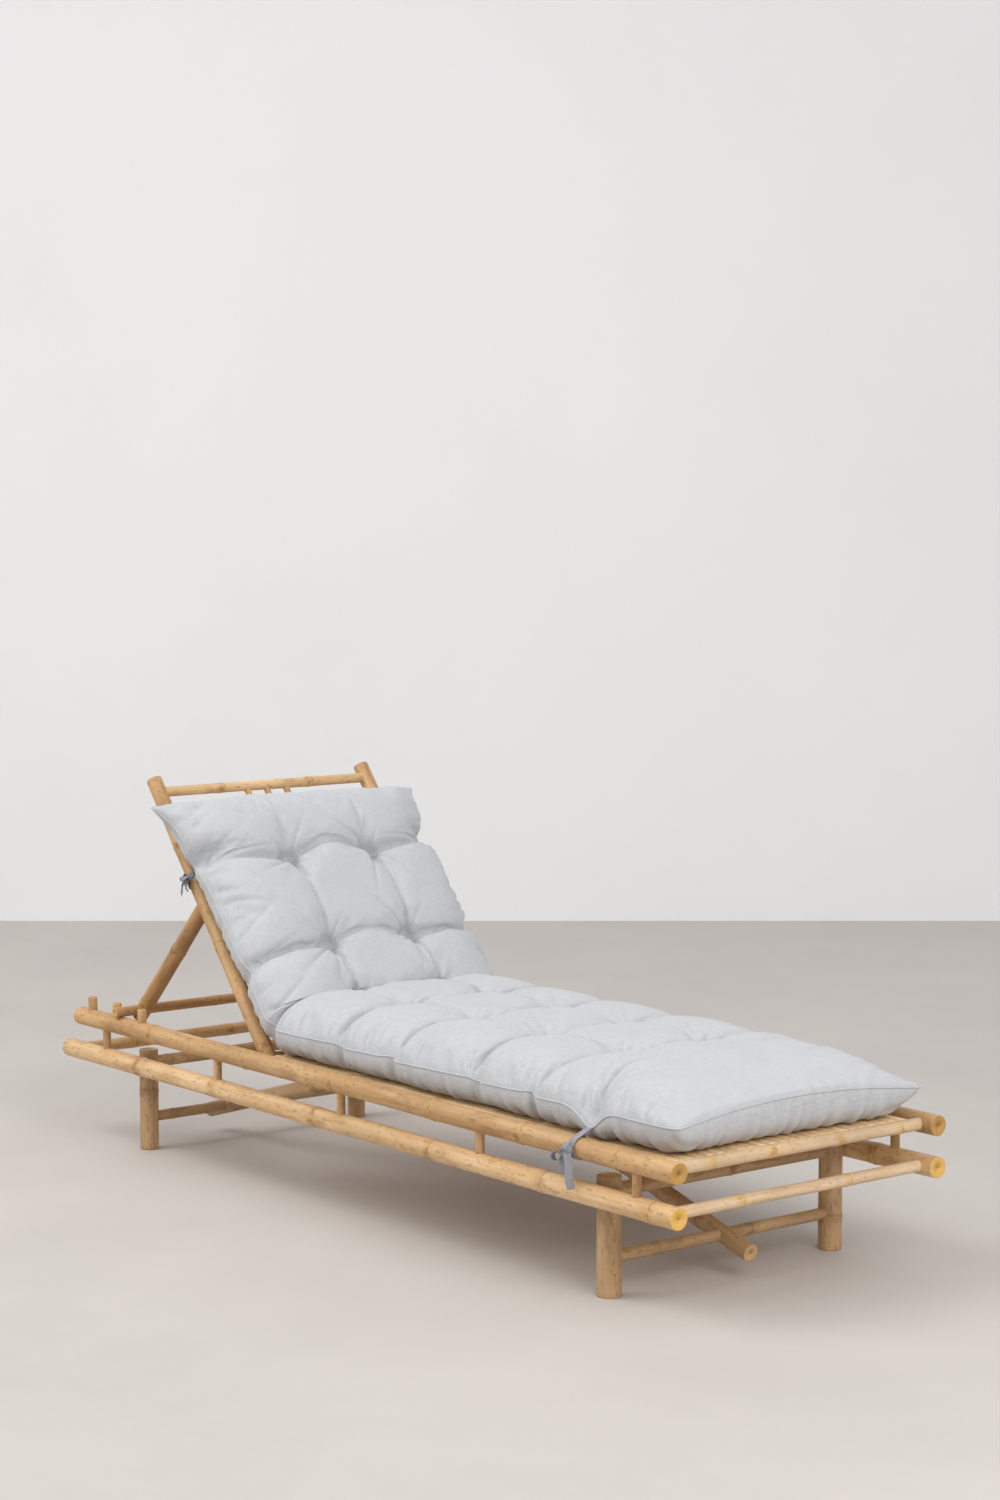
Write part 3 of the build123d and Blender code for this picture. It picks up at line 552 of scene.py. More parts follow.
# Bed: four crossbars and the hinge bar run between the upper rails, and split-bamboo strips lie on the
# crossbars along the bed, bark side up, with narrow gaps between them.
BED_BARS = {
    "bed_crossbar_1": 21, "bed_crossbar_2": 22, "bed_crossbar_3": 23, "bed_crossbar_4": 24, "hinge_bar": 31,
}
BED_BAR_RING_SPACING = 0.21
BED_SLAT_COUNT, BED_SLAT_SEED = 23, 3
SLAT_PITCH = 0.025
SLAT_OUTLINE = (
    (-0.0108, 0.0002), (-0.0102, 0.0), (0.0102, 0.0), (0.0108, 0.0002), (0.011, 0.0006), (0.011, 0.0044),
    (0.0107, 0.0050), (0.0085, 0.0058), (0.0045, 0.0067), (0.0, 0.0070), (-0.0045, 0.0067), (-0.0085, 0.0058),
    (-0.0107, 0.0050), (-0.011, 0.0044), (-0.011, 0.0006),
)
SLAT_HEART = (0.0, 0.0035, 0.0)
SLAT_ROW_PITCH = 0.008
SLAT_END_ROWS = 4
SLAT_RING_SPACING = 0.29
SLAT_SPREAD = 40.0
SPLIT_BARK = {"pale": (0.904, 0.655, 0.39), "body": (0.814, 0.548, 0.294), "stain": (0.475, 0.266, 0.113)}
SPLIT_STAINS = 0.35
split_bark = bark_finish("split_bark", **SPLIT_BARK, stains=SPLIT_STAINS)


def slat_tree():
    """Strips of one outline and length side by side, each cut from another place of a culm."""
    tree, given = new_tree("slat_row", {
        "Start": "Vector", "Along": "Vector", "Up": "Vector", "Length": "Float", "Count": "Int",
        "Pitch": "Float", "Corners": "Int", "Rows": "Int", "Ring Spacing": "Float", "Seed": "Int",
        "Bark": "Material",
    })
    last = given["Rows"] - 1.0
    grid = step(tree, "GeometryNodeMeshGrid", 1.0, 1.0, given["Corners"] + 1.0, given["Rows"])
    place = step(tree, "ShaderNodeSeparateXYZ", step(tree, "GeometryNodeInputPosition"))
    column = ((place + 0.5) * given["Corners"]).sums("ROUND")
    row = ((place.out("Y") + 0.5) * last).sums("ROUND")
    corner = place_of(given["Geometry"], column.sums("MODULO", given["Corners"]))
    from_end = row.sums("MINIMUM", last - row)
    open_row = from_end.sums("GREATER_THAN", 0.5)
    s = step(tree, "ShaderNodeClamp", (row - 1.0) / (last - 2.0)) * given["Length"]
    outline = step(tree, "ShaderNodeSeparateXYZ", (corner - SLAT_HEART) * open_row + SLAT_HEART)
    across = given["Up"].sums("CROSS_PRODUCT", given["Along"])
    spot = given["Start"] + given["Along"] * s + across * outline + given["Up"] * outline.out("Y")
    strip = noted(grid, "grain", step(tree, "ShaderNodeCombineXYZ", outline, outline.out("Y"), s))
    strip = noted(strip, "cut", from_end.sums("LESS_THAN", 0.5))
    strip = step(tree, "GeometryNodeSetPosition", strip, None, spot)
    strip = step(tree, "GeometryNodeMergeByDistance", strip, None, MERGE_REACH)

    first = across * ((given["Count"] - 1.0) * given["Pitch"] * -0.5)
    places = step(tree, "GeometryNodeMeshLine", given["Count"], None, first, across * given["Pitch"])
    strips = step(tree, "GeometryNodeInstanceOnPoints", places, None, strip)
    luck = tree.nodes.new("FunctionNodeRandomValue")
    luck.data_type = "FLOAT"
    luck.inputs[3].default_value = SLAT_SPREAD
    feed_in(luck.inputs["Seed"], given["Seed"])
    strips = noted(strips, "luck", Flow(luck.outputs[1]), "INSTANCE")
    strips = step(tree, "GeometryNodeRealizeInstances", strips)
    chance = step(tree, "GeometryNodeInputNamedAttribute", "luck", data_type="FLOAT")
    grain = step(tree, "GeometryNodeInputNamedAttribute", "grain", data_type="FLOAT_VECTOR")
    strips = noted(strips, "grain", grain + step(tree, "ShaderNodeCombineXYZ", chance, 0.0, chance))
    ring = step(tree, "ShaderNodeSeparateXYZ", grain).out("Z").sums("MODULO", given["Ring Spacing"])
    strips = noted(strips, "ring", ring - given["Ring Spacing"] * 0.5)
    return close_tree(strips, given["Bark"])


slat_row = slat_tree()


def slats(node, body, start, along, up, length, count, seed):
    """The row of strips that stands for a node."""
    values = {
        "Start": start, "Along": along, "Up": up, "Length": length, "Count": count, "Pitch": SLAT_PITCH,
        "Corners": len(SLAT_OUTLINE), "Rows": int(length / SLAT_ROW_PITCH) + SLAT_END_ROWS,
        "Ring Spacing": SLAT_RING_SPACING, "Seed": seed, "Bark": split_bark,
    }
    piece = grown(node + "_strips", slat_row, [(x, z, 0.0) for x, z in SLAT_OUTLINE], values)
    stand_for(piece, node, body)


for node, seed in BED_BARS.items():
    rings = growth(CROSS_LENGTH, BED_BAR_RING_SPACING, seed)
    culm(node, "base", "bamboo", honey_bark, *axis_ends(node, 1), rings)
low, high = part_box("bed_slats")
slats("bed_slats", "base", Vector((low.x, 0.0, low.z)), Vector((1, 0, 0)), Vector((0, 0, 1)), high.x - low.x,
      BED_SLAT_COUNT, BED_SLAT_SEED)

# Backrest: two stiles turn on the hinge bar and carry a top bar, three crossbars behind the cushion,
# three short spindles under the top bar and a row of strips. It is shown raised to its middle notch.
BACK_TURN = radians(51.2)
HINGE = Vector((-0.296, 0.0, 0.2695))
BACK_UP = Vector((-cos(BACK_TURN), 0.0, sin(BACK_TURN)))
BACK_FRONT = Vector((sin(BACK_TURN), 0.0, cos(BACK_TURN)))
SIDES = {"near": -1, "far": 1}
STILE_RINGS = {"near": (0.045, 0.293, 0.545), "far": (0.11, 0.352, 0.60)}
STILE_Y = 0.274
STILE_LOW_S, STILE_TOP_S = -0.022, 0.695
STILE_RADIUS = 0.017
STILE_BEND = 0.001
STILE_PITH = 0.0025
PROP_PIN_S = 0.410
PROP_PIN_OUTER_Y, PROP_PIN_INNER_Y = 0.292, 0.218
PROP_PIN_RADIUS = 0.005
PROP_PIN_PITH = 0.0006
PROP_PIN_SIDES = 20
BACK_BARS = {
    "back_top_bar": {"s": 0.663, "rings": (0.153, 0.386)},
    "back_second_bar": {"s": 0.575, "rings": (0.09, 0.30, 0.50)},
    "back_middle_bar": {"s": 0.255, "rings": (0.12, 0.33)},
    "back_low_bar": {"s": 0.075, "rings": (0.20, 0.43)},
}
BACK_BAR_REACH = 0.271
BACK_BAR_RADIUS = 0.011
SPINDLES = {
    "back_spindle_1": {"y": -0.051, "ring": 0.039},
    "back_spindle_2": {"y": 0.0, "ring": 0.047},
    "back_spindle_3": {"y": 0.051, "ring": 0.055},
}
SPINDLE_LOW_S, SPINDLE_TOP_S = 0.579, 0.659
SPINDLE_RADIUS = 0.007
SPINDLE_SIDES = 24
BACK_SLAT_LOW_S = 0.051
BACK_SLAT_N = 0.0111
BACK_SLAT_LENGTH = 0.548
BACK_SLAT_COUNT, BACK_SLAT_SEED = 17, 8


def on_back(s, y, n=0.0):
    """A point of the backrest, by its height up the stiles, its side and its distance in front of them."""
    return HINGE + BACK_UP * s + BACK_FRONT * n + Vector((0.0, y, 0.0))


for side, sign in SIDES.items():
    y = sign * STILE_Y
    culm(f"stile_{side}", "backrest", "bamboo", honey_bark, on_back(STILE_LOW_S, y), on_back(STILE_TOP_S, y),
         STILE_RADIUS, STILE_RINGS[side], bend=STILE_BEND, pith=STILE_PITH)
    start, stop = on_back(PROP_PIN_S, sign * PROP_PIN_OUTER_Y), on_back(PROP_PIN_S, sign * PROP_PIN_INNER_Y)
    culm(f"prop_pin_{side}", "backrest", "bamboo", honey_bark, start, stop, PROP_PIN_RADIUS, (NO_RING,),
         sides=PROP_PIN_SIDES, pith=PROP_PIN_PITH)
for node, bar in BACK_BARS.items():
    start, stop = on_back(bar["s"], -BACK_BAR_REACH), on_back(bar["s"], BACK_BAR_REACH)
    # The back bars take the same lighter copy of the honey bark: painted light.
    culm(node, "backrest", "bamboo", light_bark, start, stop, BACK_BAR_RADIUS, bar["rings"])
for node, spindle in SPINDLES.items():
    start, stop = on_back(SPINDLE_LOW_S, spindle["y"]), on_back(SPINDLE_TOP_S, spindle["y"])
    culm(node, "backrest", "bamboo", honey_bark, start, stop, SPINDLE_RADIUS, (spindle["ring"],),
         sides=SPINDLE_SIDES)
slats("back_slats", "backrest", on_back(BACK_SLAT_LOW_S, 0.0, BACK_SLAT_N), BACK_UP, BACK_FRONT,
      BACK_SLAT_LENGTH, BACK_SLAT_COUNT, BACK_SLAT_SEED)

# Prop: two poles pinned inside the stiles spread a little towards their feet, where a bar across them
# stands on the upper rails against the middle pegs.
PROP_BAR = Vector((-0.7997, 0.0, 0.3008))
PROP_BAR_RINGS = (0.07, 0.26, 0.45, 0.62)
PROP_BAR_PITH = 0.0018
PROP_RINGS = {"near": (0.203, 0.37), "far": (0.14, 0.31)}
PROP_TOP_Y, PROP_FOOT_Y = 0.236, 0.263
PROP_ABOVE, PROP_BELOW = 0.010, 0.025
PROP_RADIUS = 0.017
PROP_EDGES = (0.008, 0.001)
PROP_PITH = 0.0022
PROP_BARK = {"pale": (0.593, 0.342, 0.146), "body": (0.467, 0.249, 0.097), "stain": (0.251, 0.12, 0.046)}
PROP_STAINS = 0.6
prop_bark = bark_finish("prop_bark", **PROP_BARK, stains=PROP_STAINS)
for side, sign in SIDES.items():
    pivot = on_back(PROP_PIN_S, sign * PROP_TOP_Y)
    foot = PROP_BAR + Vector((0.0, sign * PROP_FOOT_Y, 0.0))
    along = (foot - pivot).normalized()
    start, stop = pivot - along * PROP_ABOVE, foot + along * PROP_BELOW
    culm(f"prop_pole_{side}", "prop", "bamboo", prop_bark, start, stop, PROP_RADIUS, PROP_RINGS[side],
         edges=PROP_EDGES, pith=PROP_PITH)
culm("prop_bar", "prop", "bamboo", prop_bark, *axis_ends("prop_bar", 1), PROP_BAR_RINGS, pith=PROP_BAR_PITH)

# Cushion: one long pad of two cloth panels sewn together all round at mid height, stuffed, and drawn down by
# two columns of tufts. It lies on the strips of the bed, folds over the hinge and leans on those of the back.
PAD_SEAM = 0.058
PAD_CROWN = 0.122
PAD_FOOT_X = 0.995
PAD_TOP_S = 0.581
PAD_LEAN, PAD_LEAN_REACH = 0.007, 0.4
PAD_HALF_WIDTH = 0.302
PAD_BASE_HALF_WIDTH = 0.240
PAD_SIDE_ROLL = 0.130
PAD_FOOT_ROLL, PAD_FOOT_FULLNESS = 0.250, 1.2
PAD_TOP_ROLL = 0.160
PAD_LOW_ROLL = 0.070
PAD_SEAT_Z = 0.2806
PAD_BACK_N = 0.0186
FOLD_RADIUS = 0.125
FOLD_HEIGHT = 0.05
FOOT_EARS, FOOT_EAR_REACH = (-0.010, 0.008), 0.045
TOP_EARS, TOP_EAR_REACH = (0.064, 0.028), 0.055
FOOT_BOW, TOP_BOW, END_BOW_REACH = 0.008, 0.012, 0.08
FOOT_SEAM_RISE, FOOT_SEAM_REACH = 0.028, 0.06
SEAM_RADIUS, SEAM_SIDES, SEAM_MARK = 0.0017, 6, 0.01
SEAM_JOG, JOG_WIDTH, JOG_REACH, JOG_POWER = 0.0045, 0.008, 0.07, 4
TUFT_Y = 0.105
TUFT_DEPTH, TUFT_WIDTH, TUFT_HELD = 0.014, 0.014, 0.88
SEAT_TUFT_XS = (0.617, 0.398, 0.179, -0.040)
BACK_TUFT_SS = (0.183, 0.402)
ROW_DRAW, ROW_DRAW_WIDTH = 0.014, 0.024
ROW_BOW = {"seat": -0.012, "back": 0.020}
ROW_BOW_WIDTH = 0.045
ROW_SLANTS = ((0.020, -0.012), (-0.014, 0.016), (0.016, 0.010), (-0.012, -0.014), (0.0, 0.0), (-0.014, 0.010))
ROW_SLANT_POWER = 1.5
ROW_VALLEY = ((0.7, 0.013), (0.3, 0.040))
ROW_VALLEY_DEPTH, ROW_VALLEY_AT_SIDE, ROW_VALLEY_FLAT = 0.12, 0.09, 0.02
COLUMN_VALLEY_DEPTH, COLUMN_VALLEY_AT_ROW = 0.05, 0.08
COLUMN_VALLEY_WIDTH, NEAR_ROW_WIDTH = 0.017, 0.050
COLUMN_BEFORE, COLUMN_AFTER, COLUMN_FADE = 0.06, 0.07, 0.015
FOOT_TIE_X = 0.760
BACK_SEWN_S = 0.430
TIE_DRAW, TIE_DROP, TIE_DRAW_WIDTH = 0.004, 0.040, 0.036
PAD_CELL, PAD_FINE_CELL = 0.009, 0.0042
FINE_ACROSS, FINE_ALONG = 0.022, 0.026
BASE_HELD = 0.004

corner_s = (PAD_SEAT_Z - HINGE.z - PAD_BACK_N * BACK_FRONT.z) / BACK_UP.z
corner_x = HINGE.x + BACK_UP.x * corner_s + BACK_FRONT.x * PAD_BACK_N
fold_reach = FOLD_RADIUS * np.tan(BACK_TURN / 2)
fold_start = PAD_FOOT_X - corner_x - fold_reach
fold_end = fold_start + FOLD_RADIUS * BACK_TURN
pad_length = fold_end + PAD_TOP_S - corner_s - fold_reach
tuft_rows = [PAD_FOOT_X - x for x in SEAT_TUFT_XS]
tuft_rows += [(fold_start + fold_end) / 2] + [fold_end + s - corner_s - fold_reach for s in BACK_TUFT_SS]
tie_rows = (PAD_FOOT_X - FOOT_TIE_X, fold_end + BACK_SEWN_S - corner_s - fold_reach)


def pad_points(t, y, h):
    """Points of the pad from their places along it from the foot, across it and above its underside."""
    turn = np.clip((t - fold_start) / FOLD_RADIUS, 0.0, BACK_TURN)
    flat = np.minimum(t, fold_start)
    after = np.maximum(t - fold_end, 0.0)
    y = y - PAD_LEAN * np.clip(after / PAD_LEAN_REACH, 0, 1)
    x = PAD_FOOT_X - flat - FOLD_RADIUS * np.sin(turn) - after * np.cos(turn) + h * np.sin(turn)
    z = PAD_SEAT_Z + FOLD_RADIUS * (1 - np.cos(turn)) + after * np.sin(turn) + h * np.cos(turn)
    return np.stack([x, y, z], axis=-1)


def rounded(distance, reach):
    """A quarter-round rise from nought at the edge to one at its reach."""
    return np.sqrt(np.clip(1 - (1 - np.clip(distance / reach, 0, 1)) ** 2, 0, 1))


def hump(distance, width):
    """A smooth hump of height one."""
    return np.exp(-((distance / width) ** 2))


def nip(distance, width):
    """A sharp crease of depth one."""
    return np.exp(-np.abs(distance) / width)


def grid_lines(length, spots, reach):
    """Places of the grid's lines along a length, closer together near the spots where the cloth creases."""
    at, lines = 0.0, [0.0]
    while at < length:
        at += PAD_CELL - (PAD_CELL - PAD_FINE_CELL) * max(hump(at - spot, reach) for spot in spots)
        lines.append(at)
    return np.array(lines) * length / at


def row_bow(row, y):
    """How far a row's crease departs along the pad from the line of its tufts: it bows between the two
    of them, and outside them it slants, in the last row towards the ties."""
    slants = (*ROW_SLANTS, (tie_rows[1] - tuft_rows[-1],) * 2)[tuft_rows.index(row)]
    bow = ROW_BOW["back" if row > fold_end else "seat"] * np.cos(np.clip(y / TUFT_Y, -1, 1) * pi / 2)
    outer = np.clip((np.abs(y) - TUFT_Y) / (PAD_HALF_WIDTH - TUFT_Y), 0, 1)
    return bow + np.where(y < 0, *slants) * outer**ROW_SLANT_POWER


def pad_mesh():
    """The unstuffed pad: an upper and a lower panel on one grid, sharing their sewn edge."""
    across = grid_lines(PAD_HALF_WIDTH, [TUFT_Y], FINE_ACROSS) / PAD_HALF_WIDTH
    along = grid_lines(pad_length, [*tuft_rows, *tie_rows], FINE_ALONG)
    straight, v = np.meshgrid(along, np.concatenate([-across[:0:-1], across]), indexing="ij")
    edges = np.array([-1.0, 1.0])
    at_edge = [straight - row - np.where(v < 0, *row_bow(row, edges)) for row in tuft_rows]
    drawn = sum(hump(away, ROW_DRAW_WIDTH) for away in at_edge)
    tied = sum(hump(straight - row, TIE_DRAW_WIDTH) for row in tie_rows)
    half = PAD_HALF_WIDTH - ROW_DRAW * drawn - TIE_DRAW * tied
    half = half + np.where(v < 0, *FOOT_EARS) * np.exp(-straight / FOOT_EAR_REACH)
    half = half + np.where(v < 0, *TOP_EARS) * np.exp((straight - pad_length) / TOP_EAR_REACH)
    y = v * half
    inner = 1 - v * v
    t = straight + sum(row_bow(row, y) * hump(straight - row, ROW_BOW_WIDTH) for row in tuft_rows)
    foot_bow = FOOT_BOW * np.exp(-straight / END_BOW_REACH)
    t = t + inner * (foot_bow + TOP_BOW * np.exp((straight - pad_length) / END_BOW_REACH))
    seat_rows = tuft_rows[:len(SEAT_TUFT_XS)]
    jog = sum(np.tanh((straight - row) / JOG_WIDTH) * nip(straight - row, JOG_REACH) for row in seat_rows)
    seam_h = PAD_SEAM - TIE_DROP * tied + FOOT_SEAM_RISE * inner * np.exp(-straight / FOOT_SEAM_REACH)
    seam_h = seam_h + SEAM_JOG * jog * np.abs(v) ** JOG_POWER

    full = rounded(half - np.abs(y), PAD_SIDE_ROLL)
    full = full * rounded(t - t[0], PAD_FOOT_ROLL) ** PAD_FOOT_FULLNESS * rounded(t[-1] - t, PAD_TOP_ROLL)
    in_rows = 1 / (1 + np.exp((tuft_rows[0] - COLUMN_BEFORE - t) / COLUMN_FADE))
    in_rows = in_rows / (1 + np.exp((t - tuft_rows[-1] - COLUMN_AFTER) / COLUMN_FADE))
    to_side = np.clip((np.abs(y) - ROW_VALLEY_FLAT) / (TUFT_Y - ROW_VALLEY_FLAT), 0, 1)
    valley = sum(share * hump(straight - row, width) for row in tuft_rows for share, width in ROW_VALLEY)
    across_valley = (ROW_VALLEY_DEPTH + ROW_VALLEY_AT_SIDE * to_side) * valley
    near_row = sum(hump(straight - row, NEAR_ROW_WIDTH) for row in tuft_rows)
    along_valley = hump(np.abs(y) - TUFT_Y, COLUMN_VALLEY_WIDTH) * in_rows
    along_valley = (COLUMN_VALLEY_DEPTH + COLUMN_VALLEY_AT_ROW * near_row) * along_valley
    rise = (PAD_CROWN - seam_h) * full * (1 - across_valley) * (1 - along_valley)
    dimple = sum(hump(np.hypot(t - row, np.abs(y) - TUFT_Y), TUFT_WIDTH) for row in tuft_rows)
    upper = seam_h + rise - TUFT_DEPTH * dimple
    low_side = np.clip((np.abs(y) - PAD_BASE_HALF_WIDTH) / (half - PAD_BASE_HALF_WIDTH), 0, 1)
    low_end = 1 - np.clip(np.minimum(straight, pad_length - straight) / PAD_LOW_ROLL, 0, 1)
    lower = seam_h * (1 - np.sqrt(np.clip(1 - low_side**2, 0, 1)) * np.sqrt(np.clip(1 - low_end**2, 0, 1)))

    edge = np.zeros(t.shape, bool)
    edge[[0, -1], :] = True
    edge[:, [0, -1]] = True
    upper[edge] = seam_h[edge]
    number = np.arange(t.size).reshape(t.shape)
    under = np.where(edge, number, 0)
    under[~edge] = t.size + np.arange((~edge).sum())
    places = np.concatenate([pad_points(t, y, upper).reshape(-1, 3), pad_points(t, y, lower)[~edge]])
    top_cloth = np.stack([t, y, np.where(edge, 0.0, 1.0)], axis=-1).reshape(-1, 3)
    low_cloth = np.stack([t, y, np.full_like(t, -1.0)], axis=-1)[~edge]
    top_faces = [number[:-1, :-1], number[:-1, 1:], number[1:, 1:], number[1:, :-1]]
    low_faces = [under[:-1, :-1], under[1:, :-1], under[1:, 1:], under[:-1, 1:]]
    faces = np.concatenate([np.stack(corners, axis=-1).reshape(-1, 4) for corners in (top_faces, low_faces)])
    tufts = (dimple > TUFT_HELD).reshape(-1).nonzero()[0]
    base = t.size + (lower[~edge] < BASE_HELD).nonzero()[0]
    return places, faces, np.concatenate([top_cloth, low_cloth]), np.concatenate([tufts, base, number[edge]])


def note_cloth(mesh, spots):
    """Let a mesh carry the places of its points on the flat cloth."""
    cloth = mesh.attributes.new("cloth", "FLOAT_VECTOR", "POINT")
    cloth.data.foreach_set("vector", spots.astype(np.float32).ravel())


places, faces, cloth, held = pad_mesh()
mesh = bpy.data.meshes.new("cushion_pad")
mesh.from_pydata(places.tolist(), [], faces.tolist())
mesh.update()
cushion = placed("cushion_pad", mesh)
note_cloth(mesh, cloth)

STUFFING = {
    "vertex_group_mass": "held", "quality": 5, "mass": 0.3, "tension_stiffness": 15,
    "compression_stiffness": 15, "shear_stiffness": 5, "bending_stiffness": 0.05, "use_pressure": True,
    "uniform_pressure_force": 1.6, "shrink_min": -0.025,
}
STUFFING_FRAMES = 20
UPPER_SWELL, LOWER_SWELL = 0.010, 0.005
FOOT_SWELL_SHARE, FOOT_SWELL_REACH = 0.25, 0.30
LEAST_MOVE = 1e-9


def points_of(mesh):
    """The places of a mesh's points."""
    places = np.zeros(len(mesh.vertices) * 3, np.float32)
    mesh.vertices.foreach_get("co", places)
    return places.reshape(-1, 3)


def stuffed(pad, held, furthest):
    """Blow the cloth up from inside with some points held, and keep the shape that it takes."""
    group = pad.vertex_groups.new(name="held")
    group.add(held.tolist(), 1.0, "REPLACE")
    modifier = pad.modifiers.new("stuffing", "CLOTH")
    for name, value in STUFFING.items():
        setattr(modifier.settings, name, value)
    modifier.settings.effector_weights.gravity = 0
    modifier.collision_settings.use_collision = False
    modifier.point_cache.frame_start = 1
    modifier.point_cache.frame_end = STUFFING_FRAMES
    scene = bpy.context.scene
    for number in range(1, STUFFING_FRAMES + 1):
        scene.frame_set(number)
    swollen = points_of(pad.evaluated_get(bpy.context.evaluated_depsgraph_get()).data)
    start = points_of(pad.data)
    pad.modifiers.remove(modifier)
    pad.vertex_groups.remove(group)
    scene.frame_set(1)
    moved = swollen - start
    far = np.linalg.norm(moved, axis=1, keepdims=True)
    start += moved * np.minimum(1.0, furthest[:, None] / np.maximum(far, LEAST_MOVE))
    pad.data.vertices.foreach_set("co", start.ravel())
    pad.data.update()


swell = np.where(cloth[:, 2] > 0, UPPER_SWELL, LOWER_SWELL)
stuffed(cushion, held, swell * np.clip(cloth[:, 0] / FOOT_SWELL_REACH, FOOT_SWELL_SHARE, 1.0))

finer = cushion.modifiers.new("finer", "SUBSURF")
finer.levels = finer.render_levels = 1
finer.boundary_smooth = "PRESERVE_CORNERS"
mesh = bpy.data.meshes.new_from_object(cushion.evaluated_get(bpy.context.evaluated_depsgraph_get()))
cushion.modifiers.remove(finer)
cushion.data = mesh

CREASE_SEED = 7
CREASE_LIMIT = 0.020
ROW_CREASE, ROW_CREASE_PARTS = 0.0170, ((0.7, 0.0030), (0.3, 0.010))
ROW_CREASE_MIDDLE, ROW_CREASE_TUFT_REACH = 0.55, 0.035
ROW_CREASE_FADE, ROW_CREASE_FADE_REACH = 0.35, 0.19
RAYS, RAY_TURN, RAY_BEND = 8, 16, 0.12
RAY_DEPTH, RAY_REACH = (0.005, 0.012), (0.040, 0.105)
RAY_WIDTH, RAY_START = 0.0032, 0.012
COLUMN_CREASE, COLUMN_CREASE_WIDTH = 0.0165, 0.0032
COLUMN_CREASE_MIDDLE, COLUMN_POWER, COLUMN_LEAN = 0.55, 1.5, 0.016
TIE_FOLDS = (
    (-56, 0.008, 0.09), (-30, 0.010, 0.12), (-12, 0.008, 0.10), (4, 0.016, 0.20), (24, 0.010, 0.13),
    (50, 0.008, 0.09),
)
TIE_FOLD_WIDTH, TIE_FOLD_TURN, BACK_TIE_FOLD_SHARE = 0.0034, 5, 0.55
GATHER_FIRST, GATHER_PITCH = 0.03, (0.020, 0.055)
GATHER_DEPTH, GATHER_REACH = (0.002, 0.011), (0.025, 0.095)
GATHER_SLANT, GATHER_WIDTH, GATHER_START = 0.7, 0.0042, 0.006
LOW_WAVES, LOW_WAVE_DEPTH = 9, 0.0011
LOW_WAVE_PITCH, LOW_WAVE_WEIGHT, LOW_WAVE_PHASE = (0.022, 0.05), (0.4, 1.0), 6.3
LOW_WAVE_UNEVEN, LOW_WAVE_TURN = 2.0, 9
LOW_RIM, LOW_SIDE_LAP = 0.07, 0.01


def row_creases(t, y, chance):
    """Depths of the folds across in each row of tufts, away from each tuft, and on to the next row."""
    depth = np.zeros(t.size)
    for number, row in enumerate(tuft_rows):
        away = t - (row + row_bow(row, y))
        outer = np.clip((np.abs(y) - TUFT_Y) / ROW_CREASE_FADE_REACH, 0, 1)
        inner = (1 - ROW_CREASE_MIDDLE) * nip(np.abs(y) - TUFT_Y, ROW_CREASE_TUFT_REACH)
        strength = np.where(np.abs(y) < TUFT_Y, ROW_CREASE_MIDDLE + inner, 1 - ROW_CREASE_FADE * outer)
        depth += ROW_CREASE * strength * sum(share * nip(away, width) for share, width in ROW_CREASE_PARTS)
        for column in (-TUFT_Y, TUFT_Y):
            away_t, away_y = t - row, y - column
            span = np.hypot(away_t, away_y)
            for turn in range(RAYS):
                angle = radians(360 / RAYS * turn + chance.uniform(-RAY_TURN, RAY_TURN))
                reach = chance.uniform(*RAY_REACH)
                aside = away_t * sin(angle) - away_y * cos(angle)
                ahead = away_t * cos(angle) + away_y * sin(angle)
                aside = aside - RAY_BEND * chance.uniform(-1, 1) * span**2 / reach
                fold = nip(aside, RAY_WIDTH) * hump(span, reach) * np.clip(span / RAY_START, 0, 1)
                depth += chance.uniform(*RAY_DEPTH) * fold * (ahead > 0)
        if number + 1 < len(tuft_rows):
            middle, length = (row + tuft_rows[number + 1]) / 2, tuft_rows[number + 1] - row
            share = np.clip((t - middle) / length * 2, -1, 1)
            strength = COLUMN_CREASE_MIDDLE + (1 - COLUMN_CREASE_MIDDLE) * np.abs(share) ** COLUMN_POWER
            for column in (-TUFT_Y, TUFT_Y):
                lean = chance.uniform(-COLUMN_LEAN, COLUMN_LEAN)
                fold = nip(y - column - lean * np.cos(share * pi / 2), COLUMN_CREASE_WIDTH) * strength
                depth += COLUMN_CREASE * fold * (np.abs(t - middle) < length / 2)
    return depth


def edge_creases(t, y, chance):
    """Depths of the folds that spread from the ties and of the gathers along the sewn sides."""
    depth = np.zeros(t.size)
    for row in tie_rows:
        for side in (-1, 1):
            away_t, away_y = t - row, PAD_HALF_WIDTH - side * y
            for turn, press, reach in TIE_FOLDS:
                angle = radians(turn + chance.uniform(-TIE_FOLD_TURN, TIE_FOLD_TURN))
                aside = away_t * cos(angle) - away_y * sin(angle)
                reach = reach if row < fold_start else BACK_TIE_FOLD_SHARE * reach
                fold = nip(aside, TIE_FOLD_WIDTH) * hump(np.hypot(away_t, away_y), reach)
                depth += press * fold * (side * y > 0)
    to_edge = PAD_HALF_WIDTH - np.abs(y)
    for side in (-1, 1):
        at = GATHER_FIRST
        while at < pad_length:
            slant, reach = chance.uniform(-GATHER_SLANT, GATHER_SLANT), chance.uniform(*GATHER_REACH)
            fold = nip(t - at - slant * to_edge, GATHER_WIDTH) * hump(to_edge, reach) * (side * y > 0)
            depth += chance.uniform(*GATHER_DEPTH) * fold * np.clip(to_edge / GATHER_START, 0, 1)
            at += chance.uniform(*GATHER_PITCH)
    return depth


